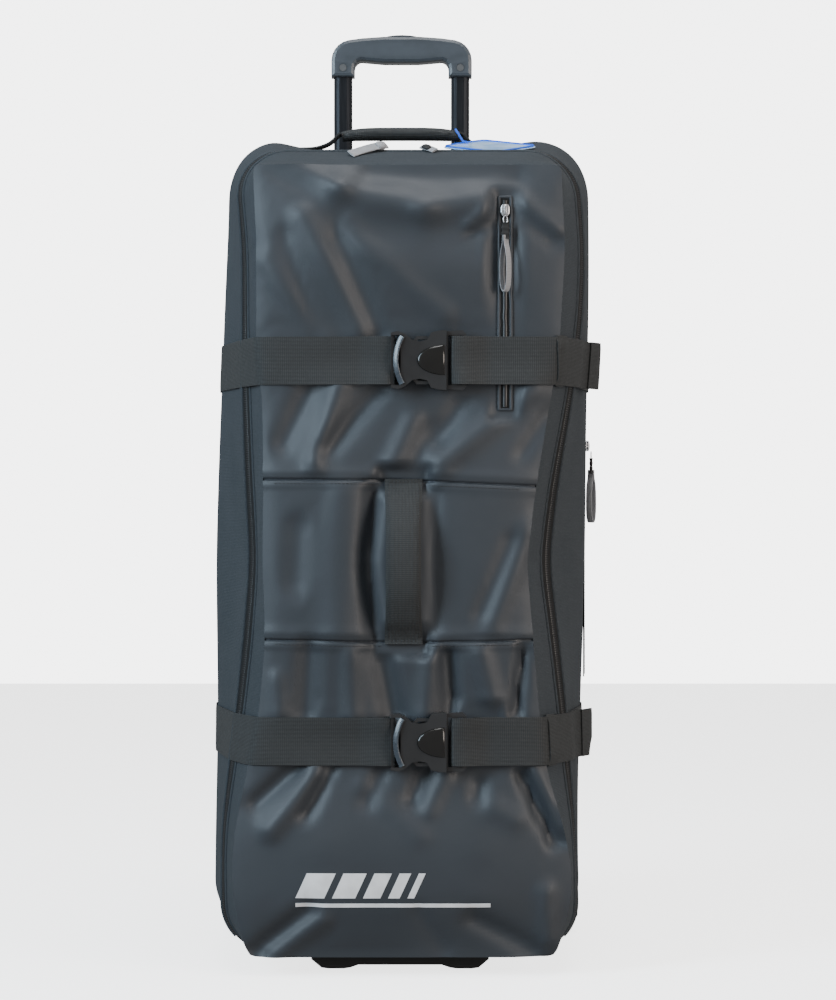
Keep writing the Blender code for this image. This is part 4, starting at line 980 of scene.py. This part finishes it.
class Strap:
    """A taut band round the bag at a height. Rows of points run along it, columns across it."""

    def __init__(self, bag, height):
        self.levels = height + np.linspace(-STRAP_HALF, STRAP_HALF, 9)
        lines = [bag.taut(level) for level in self.levels]
        way = np.linspace(min(at[0] for at, _ in lines), max(at[-1] for at, _ in lines), 400)
        table = np.array([placed(hull, at, way) for at, hull in lines])
        blur = np.array([0.25, 0.5, 0.25])
        for _ in range(3):
            padded = np.concatenate([table[:1], table, table[-1:]])
            table = sum(blur[i] * padded[i:i + len(table)] for i in range(3))
        for _ in range(4):
            table[:, 1:-1] = (table[:, :-2] + 2 * table[:, 1:-1] + table[:, 2:]) / 4
        self.way, self.table = way, table

    def at(self, way, lift):
        """Points and outward normals at distances along the band, lifted off the bag."""
        way, lift = np.atleast_1d(way), np.broadcast_to(lift, np.atleast_1d(way).shape)
        points = np.empty((len(way), len(self.levels), 3))
        for column, level in enumerate(self.levels):
            for axis in (0, 1):
                points[:, column, axis] = np.interp(way, self.way, self.table[column, :, axis])
            points[:, column, 2] = level
        return points + self.normals(points) * lift[:, None, None], self.normals(points)

    @staticmethod
    def normals(points):
        tangent = np.gradient(points, axis=0)
        tangent[..., 2] = 0
        tangent = unit(tangent)
        return np.stack([tangent[..., 1], -tangent[..., 0], np.zeros(tangent.shape[:2])], axis=-1)

    def turn(self, x, start, end):
        """Half a turn of the band round a buckle's bar, from one angle to another."""
        angle = np.radians(np.linspace(start, end, 9))
        points = np.empty((len(angle), len(self.levels), 3))
        points[..., 0] = (x + BAR_TURN * np.cos(angle))[:, None]
        points[..., 1] = (BUCKLE_Y + BAR_TURN * np.sin(angle))[:, None]
        points[..., 2] = self.levels
        points[..., 2] = points[..., 2].mean() + (points[..., 2] - points[..., 2].mean()) * 0.985
        return points

    def back_end(self, side):
        """The way along the band where it is sewn into the bag, on the left (-1) or right (1)."""
        line = self.table[len(self.levels) // 2]
        half = self.way * side > 0
        order = np.argsort(self.way[half] * side)
        y = line[half][order][:, 1]
        return side * np.interp(STRAP_BACK_Y, np.maximum.accumulate(y), (self.way[half] * side)[order])


def bar_slope(way, near, far, low, high):
    """The lift of a layer: high at the buckle's bar, low further along."""
    return low + (high - low) * (1 - ease(np.abs(way), near, far))


def strap_pieces(bag):
    for level, height in STRAPS.items():
        strap = Strap(bag, height)
        threads = Shape()

        # Left: along the bag, round the socket's bar and back over itself, where it is sewn down.
        way = np.linspace(strap.back_end(-1), LEFT_START, 150)
        lower, _ = strap.at(way, bar_slope(way, 0.012, 0.045, UNDER_LIFT, UNDER_BAR_LIFT))
        turned = strap.turn(SOCKET_BAR_X, 80, -80)
        way = np.linspace(LEFT_START, LEFT_SEWN, 20)
        upper, _ = strap.at(way, bar_slope(way, 0.012, 0.034, OVER_LIFT, OVER_BAR_LIFT))
        path = np.concatenate([lower, turned, upper])
        shape = Shape()
        shape.slab(path, Strap.normals(path), WEB)
        shape.make(f"{level}_strap_left_web", "webbing", "root", [f"{level}_strap_left"])
        out = upper_out(upper)
        for column in (1, 7):
            stitches(threads, upper[6:, column] + out[6:] * WEB, out[6:])
        for row in (-2, -5):
            line = upper[row, 1:-1] + out[row] * WEB
            stitches(threads, line, np.broadcast_to(out[row], line.shape))
        threads.make(f"{level}_strap_stitching", "thread", "root")

        # Right, on the bag: from its seam at the back to the front corner.
        corner = STRAP_CORNER[level]
        way = np.linspace(corner, strap.back_end(1), 110)
        path, normals = strap.at(way, UNDER_LIFT)
        shape = Shape()
        shape.slab(path, normals, WEB)
        nodes = [f"{level}_strap_right_side"]
        shape.make(f"{level}_strap_side_web", "webbing", "root", nodes)

        # Right, on the plug: under the bar, round it and back as the free tail.
        start = PLUG_BAR_X + 0.004
        way = np.linspace(corner - 0.001, start, 60)
        lower, _ = strap.at(way, bar_slope(way, start, PLUG_BAR_X + 0.035, UNDER_LIFT, UNDER_BAR_LIFT))
        turned = strap.turn(PLUG_BAR_X, 100, 260)
        end = TAIL_END[level]
        way = np.linspace(start, end, 120)
        lift = bar_slope(way, start, PLUG_BAR_X + 0.040, OVER_LIFT, OVER_BAR_LIFT)
        lift = lift + TAIL_FLARE * ease(way, end - TAIL_FLARE_LENGTH, end) ** 2
        upper, _ = strap.at(way, lift)
        if level == "lower":
            upper[-6:, :4, 0] -= 0.004 * np.linspace(0, 1, 6)[:, None] * np.linspace(1, 0, 4)[None]
        path = np.concatenate([lower, turned, upper])
        shape = Shape()
        shape.slab(path, Strap.normals(path), WEB)
        hem, out = upper[-14:], Strap.normals(upper)[-14:]
        shape.slab(hem, out, WEB, WEB + 0.0002)
        name = f"{level}_strap_tail_web"
        shape.make(name, "webbing", f"{level}_plug", [f"{level}_strap_right_front"])
        keeper(strap, level, corner)


def upper_out(points):
    return Strap.normals(points)[:, points.shape[1] // 2]


def keeper(strap, level, corner):
    """The elastic loop that holds the tail down."""
    way = np.linspace(corner - 0.004, corner + 0.014, 10)
    points, normals = strap.at(way, 0.0053)
    points[:, [0, -1]] -= normals[:, [0, -1]] * 0.0030
    points[:, 0, 2] -= 0.0016
    points[:, -1, 2] += 0.0016
    shape = Shape()
    shape.slab(points, normals, 0.0012)
    nodes = [f"{level}_strap_keeper"]
    shape.make(f"{level}_keeper_web", "webbing", f"{level}_plug", nodes)


def plate_shape(shape, outline, y, half, bulge=0.0, rim=0.0006):
    """A plate in the front plane: an outline of (x, z), rounded towards the front and crowned by bulge."""
    outline = np.asarray(outline, float)
    centre = outline.mean(axis=0)
    rings = []
    wall = ((1 - rim * 40, half), (1.0, half - rim), (1.0, -half + rim * 1.5), (1 - rim * 50, -half))
    for share, depth in wall:
        ring = centre + (outline - centre) * share
        rings.append(np.stack([ring[:, 0], np.full(len(ring), y + depth), ring[:, 1]], axis=-1))
    for share in (0.85, 0.7, 0.5, 0.3, 0.1):
        ring = centre + (outline - centre) * share
        out = y - half - bulge * (1 - share**2) ** 0.7
        rings.append(np.stack([ring[:, 0], np.full(len(ring), out), ring[:, 1]], axis=-1))
    rings = np.array(rings)
    index = np.arange(len(rings) * len(outline)).reshape(len(rings), -1)
    shape.add(rings.reshape(-1, 3), [*quads_round(index), index[0], index[-1][::-1]])


def half_ellipse(x, z, width, half_height, count=22):
    """Half an ellipse, round to the left of a straight edge at x."""
    turn = np.linspace(-math.pi / 2, math.pi / 2, count)
    return np.stack([x - width * np.cos(turn), z - half_height * np.sin(turn)], axis=-1)


def buckle_trim():
    """The polished dome on each socket and the curved bar that the left webbing turns round; the bar's
    lighter blue-grey colour is a painted reflection.
    """
    for level, height in STRAPS.items():
        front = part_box(f"{level}_buckle_socket")[0].y
        dome = Shape()
        outline = half_ellipse(0.0465, height, 0.0285, 0.0155)
        plate_shape(dome, outline, front - 0.0002, 0.0010, 0.0022)
        dome.make(f"{level}_buckle_dome", "gloss", "root")
        bar = Shape()
        z = np.linspace(-0.0245, 0.0245, 25)
        bow = 0.0065 * (z / 0.0245) ** 2
        path = np.stack([bow - 0.0040, front - 0.0004 + bow * 0.1, height + z], axis=-1)
        bar.sweep(path, (-0.5, -0.86, 0), rounded_box(0.0030, 0.0013, 0.0011))
        # the bar's lighter blue-grey colour is painted reflection
        bar.make(f"{level}_buckle_bar", "painted_reflection", "root")


# ---------------------------------------------------------------- handles and tag


def front_handle():
    """The carry handle: doubled webbing, rolled at its edges, sewn down at both ends."""
    low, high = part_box("front_handle")
    x, half = (low.x + high.x) / 2, 0.0196
    heights = (0.346, 0.352, 0.361, 0.374, 0.400, 0.432, 0.464, 0.490, 0.504, 0.512, 0.518)
    out = (0, 0, 0.0045, 0.0140, 0.0245, 0.0275, 0.0245, 0.0140, 0.0045, 0, 0)
    base = FLAT_Y - 0.0008
    path = smooth_path([(x, base - d, z) for z, d in zip(heights, out)], 90)
    roll = np.interp(path[:, 2], heights, (0, 0, 0.2, 0.7, 1, 1, 1, 0.7, 0.2, 0, 0))
    columns = np.linspace(-1, 1, 13)
    width = half - 0.0015 * roll[:, None]
    curl = 0.0035 * roll[:, None] * np.abs(columns[None, :]) ** 4
    tangent = unit(np.gradient(path, axis=0))
    side = np.array([1.0, 0, 0])
    normal = unit(np.cross(side, tangent))
    normal = normal * np.sign(-normal[:, 1:2])
    grid = path[:, None] + side * (columns[None, :] * width)[..., None] - normal[:, None] * curl[..., None]
    normals = np.broadcast_to(normal[:, None], grid.shape)
    shape = Shape()
    shape.slab(grid, normals, 0.0030)
    shape.make("front_handle_web", "webbing", "root", ["front_handle"])
    threads = Shape()
    for z in (0.3500, 0.5150):
        line = np.array([(x + c * half * 0.86, base - 0.0031, z) for c in columns])
        stitches(threads, line, np.broadcast_to([0.0, -1, 0], line.shape))
    threads.make("front_handle_stitching", "thread", "root")
    edges = Shape()
    for sign in (-1, 1):
        line = grid[8:-8, 6 + sign * 5] + normals[8:-8, 0] * 0.0030
        stitches(edges, line, normals[8:-8, 0])
    edges.make("front_handle_edge_stitching", "thread", "root")


def top_handle():
    """The padded top handle on its two sewn tabs."""
    low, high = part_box("top_handle")
    y, z = (low.y + high.y) / 2, (low.z + high.z) / 2
    x = np.linspace(low.x + 0.001, high.x - 0.001, 60)
    share = x / high.x
    swell = 1 - share**4
    path = np.stack([x, np.full(60, y), z - 0.0012 + 0.0030 * swell], axis=-1)
    radii = np.stack([0.0078 + 0.004 * swell, 0.0052 + 0.0022 * swell], axis=-1)
    profile = circle(1.0, 20)[None] * radii[:, None]
    shape = Shape()
    shape.sweep(path, (0, 0, 1), profile)
    grip = shape.make("top_handle_grip", "webbing", "top_handle", ["top_handle"])
    seam = Shape()
    line = path[3:-3] + np.array([0, -1, 0.1]) * (0.0078 + 0.004 * swell[3:-3])[:, None]
    stitches(seam, line, np.broadcast_to([0.0, -1, 0.1], line.shape))
    seam.make("top_handle_stitching", "thread", "top_handle")
    for name, sign in (("left", -1), ("right", 1)):
        a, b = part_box(f"top_handle_anchor_{name}")
        inner, outer = (b.x, a.x) if sign < 0 else (a.x, b.x)
        route = [
            (outer + sign * 0.030, y, 0.8862), (outer + sign * 0.012, y, 0.8872),
            (outer - sign * 0.003, y, 0.8925), (inner + sign * 0.003, y, 0.9015), (inner, y, 0.9030),
        ]
        path = smooth_path(route, 26)
        tangent = unit(np.gradient(path, axis=0))
        up = np.cross(tangent, [0, sign * 1.0, 0])
        grid = path[:, None] + np.linspace(-0.012, 0.012, 7)[None, :, None] * np.array([0, 1.0, 0])
        shape = Shape()
        shape.slab(grid, np.broadcast_to(up[:, None], grid.shape), 0.0030, -0.0015)
        node = f"top_handle_anchor_{name}"
        shape.make(f"{node}_web", "webbing", "root", [node])


def luggage_tag():
    """The tag's card and the soft rim on it, in the CAD tag's slanted place."""
    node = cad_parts["luggage_tag"]
    points = np.array([vertex.co for vertex in node.data.vertices])
    centre = (points.min(axis=0) + points.max(axis=0)) / 2
    _, _, axes = np.linalg.svd(points - points.mean(axis=0), full_matrices=False)
    along, across, normal = axes
    along = along * np.sign(along[0])
    normal = normal * np.sign(normal[2])
    across = np.cross(normal, along)

    def carried(outline, lift, shape, half, bulge):
        flat = Shape()
        plate_shape(flat, outline, 0.0, half, bulge)
        local = np.concatenate(flat.points)
        world = centre + local[:, :1] * along + local[:, 2:] * across + (lift - local[:, 1:2]) * normal
        shape.add(world, flat.faces)

    card = Shape()
    carried(rounded_box(0.048, 0.029, 0.008), 0.0, card, 0.0011, 0.0002)
    card.make("luggage_tag_card", "tag", "luggage_tag", ["luggage_tag"])
    rim = Shape()
    outline = rounded_box(0.0465, 0.0275, 0.008, 8)
    ring = centre + outline[:, :1] * along + outline[:, 1:] * across + normal * 0.0012
    rim.sweep(ring, normal, circle(0.0012, 8), closed=True)
    rim.make("luggage_tag_rim", "cord", "luggage_tag")


# ---------------------------------------------------------------- sliders and pulls


def slider_piece(name, body, node, facing, along):
    """A zipper slider: two crowned plates and a bridge, in the CAD slider's room."""
    low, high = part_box(node)
    centre = np.array((low + high) / 2)
    facing, along = np.array(facing, float), np.array(along, float)
    side = np.cross(along, facing)
    height = abs(np.array(high - low) @ np.abs(facing))
    shape = Shape()
    for lift, half in ((-0.25 * height, 0.0045), (0.16 * height, 0.0042)):
        share = np.linspace(-1, 1, 15)
        path = centre + along * (share * 0.0058)[:, None] + facing * lift
        width = half * (1 - 0.35 * np.abs(share) ** 3)
        sizes = np.stack([width, np.full(15, 0.00085)], axis=-1)
        profile = rounded_box(1.0, 1.0, 0.5)[None] * sizes[:, None]
        shape.sweep(path, facing, profile)
    arch = (
        (-0.0050, 0.18), (-0.0046, 0.34), (-0.0018, 0.46), (0.0018, 0.46), (0.0044, 0.34), (0.0048, 0.18),
    )
    path = smooth_path([centre + along * a + facing * b * height for a, b in arch], 20)
    shape.sweep(path, side, rounded_box(0.0007, 0.0013, 0.0005))
    shape.make(name, "zinc", body, [node])


def loop_pull(name, body, node, outward, turned):
    """A ring, a dark sleeve and a long webbing loop, hanging in the CAD pull's room."""
    low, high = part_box(node)
    top = np.array([(low.x + high.x) / 2, (low.y + high.y) / 2, high.z])
    outward = unit(np.array(outward, float))
    side = np.cross(outward, [0, 0, 1.0])
    face = outward * math.cos(turned) + side * math.sin(turned)
    apart = np.cross([0, 0, 1.0], face)
    ring = Shape()
    turn = np.linspace(0, 2 * math.pi, 20, endpoint=False)
    upright = np.array([0, 0, 1.0])
    loop = top - 0.004 * upright
    loop = loop + 0.0022 * np.cos(turn)[:, None] * side + 0.0042 * np.sin(turn)[:, None] * upright
    ring.sweep(loop, outward, circle(0.0006, 8), closed=True)
    ring.make(f"{name}_ring", "zinc", body)
    sleeve = Shape()
    places = np.linspace(0, 1, 14)
    path = top + np.array([0, 0, -1.0]) * (0.0070 + 0.017 * places)[:, None]
    waist = 1 + 0.15 * np.cos(places * 6 * math.pi)
    sizes = np.stack([0.0040 * waist, 0.0017 * waist], axis=-1)
    sleeve.sweep(path, outward, rounded_box(1, 1, 0.5)[None] * sizes[:, None])
    sleeve.make(f"{name}_sleeve", "rubber", body)
    web = Shape()
    length = high.z - low.z
    half = [
        (0.0007, 0.020), (0.0012, 0.028), (0.0036, 0.038), (0.0046, 0.052),
        (0.0042, length - 0.010), (0.0024, length - 0.0025),
    ]
    route = [(-a, d) for a, d in half] + [(0, length)] + half[::-1]
    path = smooth_path([top + apart * a - np.array([0, 0, d]) for a, d in route], 70)
    tangent = unit(np.gradient(path, axis=0))
    grid = path[:, None] + np.linspace(-0.0038, 0.0038, 5)[None, :, None] * face
    normals = np.broadcast_to(np.cross(tangent, face)[:, None], grid.shape)
    web.slab(grid, normals, 0.0010, -0.0005)
    web.make(f"{name}_webbing", "pull", body, [node])


def main_pull(name, body, node, side, route, half):
    """A short webbing tab on the main zipper, hanging over the front edge of the top."""
    path = smooth_path(route, 24)
    tangent = unit(np.gradient(path, axis=0))
    out = unit(np.cross(tangent, np.cross([0, -0.75, 0.66], tangent)))
    out = out * np.sign(-out[:, 1:2])
    across = np.cross(tangent, out)
    grid = path[:, None] + np.linspace(-half, half, 5)[None, :, None] * across[:, None]
    shape = Shape()
    shape.slab(grid, np.broadcast_to(out[:, None], grid.shape), 0.0018, -0.0009)
    shape.make(name, "pull", body, [node])
    knob = Shape()
    start = np.array(route[0])
    line = smooth_path([start + tangent[0] * reach for reach in (0.0015, 0.0070, 0.0125)], 8)
    size = np.array([0.55, 0.85, 1, 1, 1, 1, 0.9, 0.6])[:, None, None]
    knob.sweep(line, out[0], rounded_box(half * 0.95, 0.0030, 0.0022)[None] * size)
    knob.make(f"{name}_sleeve", "pull" if side < 0 else "rubber", body)


def sliders(bag):
    for side in ("left", "right"):
        body = f"main_slider_{side}"
        slider_piece(f"{body}_body", body, f"main_zipper_slider_{side}", (0, 0, 1), (1, 0, 0))
    slider_piece("pocket_slider_body", "pocket_slider", "pocket_zipper_slider", (0, -1, 0), (0, 0, 1))
    slider_piece("side_slider_body", "side_slider", "side_zipper_slider", (1, 0, 0), (0, 0, 1))
    loop_pull("pocket_pull", "pocket_pull", "pocket_zipper_pull", (0, -1, 0), math.radians(42))
    loop_pull("side_pull", "side_pull", "side_zipper_pull", (1, 0, 0), math.radians(35))
    places = ((8.0, -0.0145, 0.0074), (7.0, -0.024, 0.0064), (5.0, -0.038, 0.0040), (3.2, -0.0515, 0.0026))
    route = [bag.on_top(*place) for place in places]
    main_pull("main_pull_left_tab", "main_pull_left", "main_zipper_pull_left", -1, route, 0.0055)
    places = ((8.0, 0.0230, 0.0060), (7.2, 0.0280, 0.0045), (6.2, 0.0330, 0.0032), (5.4, 0.0370, 0.0024))
    route = [bag.on_top(*place) for place in places]
    main_pull("main_pull_right_tab", "main_pull_right", "main_zipper_pull_right", 1, route, 0.0040)


def side_zipper():
    """Tape and coil of the side pocket's zipper, on the right side."""
    low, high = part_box("side_zipper_tape")
    y, x = (low.y + high.y) / 2, high.x
    z = np.linspace(low.z, high.z, 60)
    across = np.linspace(-0.0065, 0.0065, 5)
    grid = np.array([[(x - 0.0004, y + offset, height) for offset in across] for height in z])
    out = np.broadcast_to([1.0, 0, 0], grid.shape)
    tape = Shape()
    tape.slab(grid, out, 0.0010, -0.0010)
    tape.make("side_zipper_tape_cloth", "tape", "root", ["side_zipper_tape"])
    heights = np.arange(low.z + 0.003, high.z - 0.003, COIL_PITCH)
    line = np.stack([np.full(len(heights), x - 0.0002), np.full(len(heights), y), heights], axis=-1)
    zipper_coil("side_zipper_coil", line, (1, 0, 0), circle(0.0021, 8, 0.45))


# ---------------------------------------------------------------- hard parts and the studio


def hard_parts():
    """Better materials for the CAD parts that keep their shape."""
    given = {
        "plastic": ("buckle_", "wheel_housing_", "back_skid", "trolley_bottom_bracket"),
        "grip": ("trolley_grip", "trolley_bezel"),
        "button": ("release_button",),
        "anodised": ("trolley_inner_tube_",),
        "aluminium": ("trolley_outer_tube_",),
        "steel": ("release_rod_", "wheel_axle_", "grip_screw_"),
        "tyre": ("wheel_tyre_",),
        "hub": ("wheel_hub_",),
        "rubber": ("front_foot",),
        "board": ("back_board", "base_board"),
        "cord": ("tag_loop",),
    }
    for name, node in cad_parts.items():
        for look, starts in given.items():
            if any(start in name for start in starts):
                for material_slot in node.material_slots:
                    material_slot.material = LOOKS[look]


def camera():
    data = bpy.data.cameras.new("camera")
    data.lens, data.sensor_width = CAMERA_LENS, CAMERA_SENSOR
    cam = add_object("camera", data)
    cam.location = CAMERA_PLACE
    cam.rotation_euler = (math.radians(90), 0, 0)
    bpy.context.scene.camera = cam


def area(name, location, target, size, power, colour):
    data = bpy.data.lights.new(name, "AREA")
    data.shape = "RECTANGLE"
    data.size, data.size_y = size
    data.energy, data.color = power, colour
    lamp = add_object(name, data)
    lamp.location = location
    lamp.rotation_euler = (Vector(target) - Vector(location)).to_track_quat("-Z", "Y").to_euler()


def studio():
    world = bpy.data.worlds.new("studio")
    bpy.context.scene.world = world
    world.use_nodes = True
    world.node_tree.nodes["Background"].inputs["Color"].default_value = (1.0, 1.0, 1.0, 1)
    world.node_tree.nodes["Background"].inputs["Strength"].default_value = WORLD_LIGHT
    area("key_left", (-2.1, -1.5, 1.5), (0, 0, 0.5), (0.8, 1.8), 100, (0.68, 0.86, 1.0))
    area("fill_right", (2.2, -1.6, 0.9), (0, 0, 0.4), (0.8, 1.6), 52, (1.0, 0.89, 0.80))
    area("top", (0.2, -0.5, 2.6), (0, 0, 0.8), (1.4, 1.0), 34, (1.0, 1.0, 1.0))
    planes = (("floor", (0, 0, 0), 0, 2.6), ("backdrop", (0, BACKDROP_Y, 0), 90, 4.5))
    for name, place, turn, glow in planes:
        turned = (math.radians(turn), 0, 0)
        bpy.ops.mesh.primitive_plane_add(size=STAGE_SIZE, location=place, rotation=turned)
        plane = bpy.context.object
        plane.name = name
        own = {"Emission_Color": (1, 1, 1, 1), "Emission_Strength": glow}
        paint = Look(f"{name}_paint", (0.86, 0.86, 0.86), 0.6, **own)
        paint.vary(paint.noise(3, 2), (0.84, 0.84, 0.84))
        plane.data.materials.append(paint.mat)
        plane.visible_glossy = plane.visible_diffuse = False


def main():
    camera()
    studio()
    bag = Bag()
    fabric_pieces(bag)
    main_zipper(bag)
    seam_threads(bag)
    pocket_zipper(bag)
    printed_mark(bag)
    strap_pieces(bag)
    buckle_trim()
    front_handle()
    top_handle()
    luggage_tag()
    sliders(bag)
    side_zipper()
    hard_parts()


main()
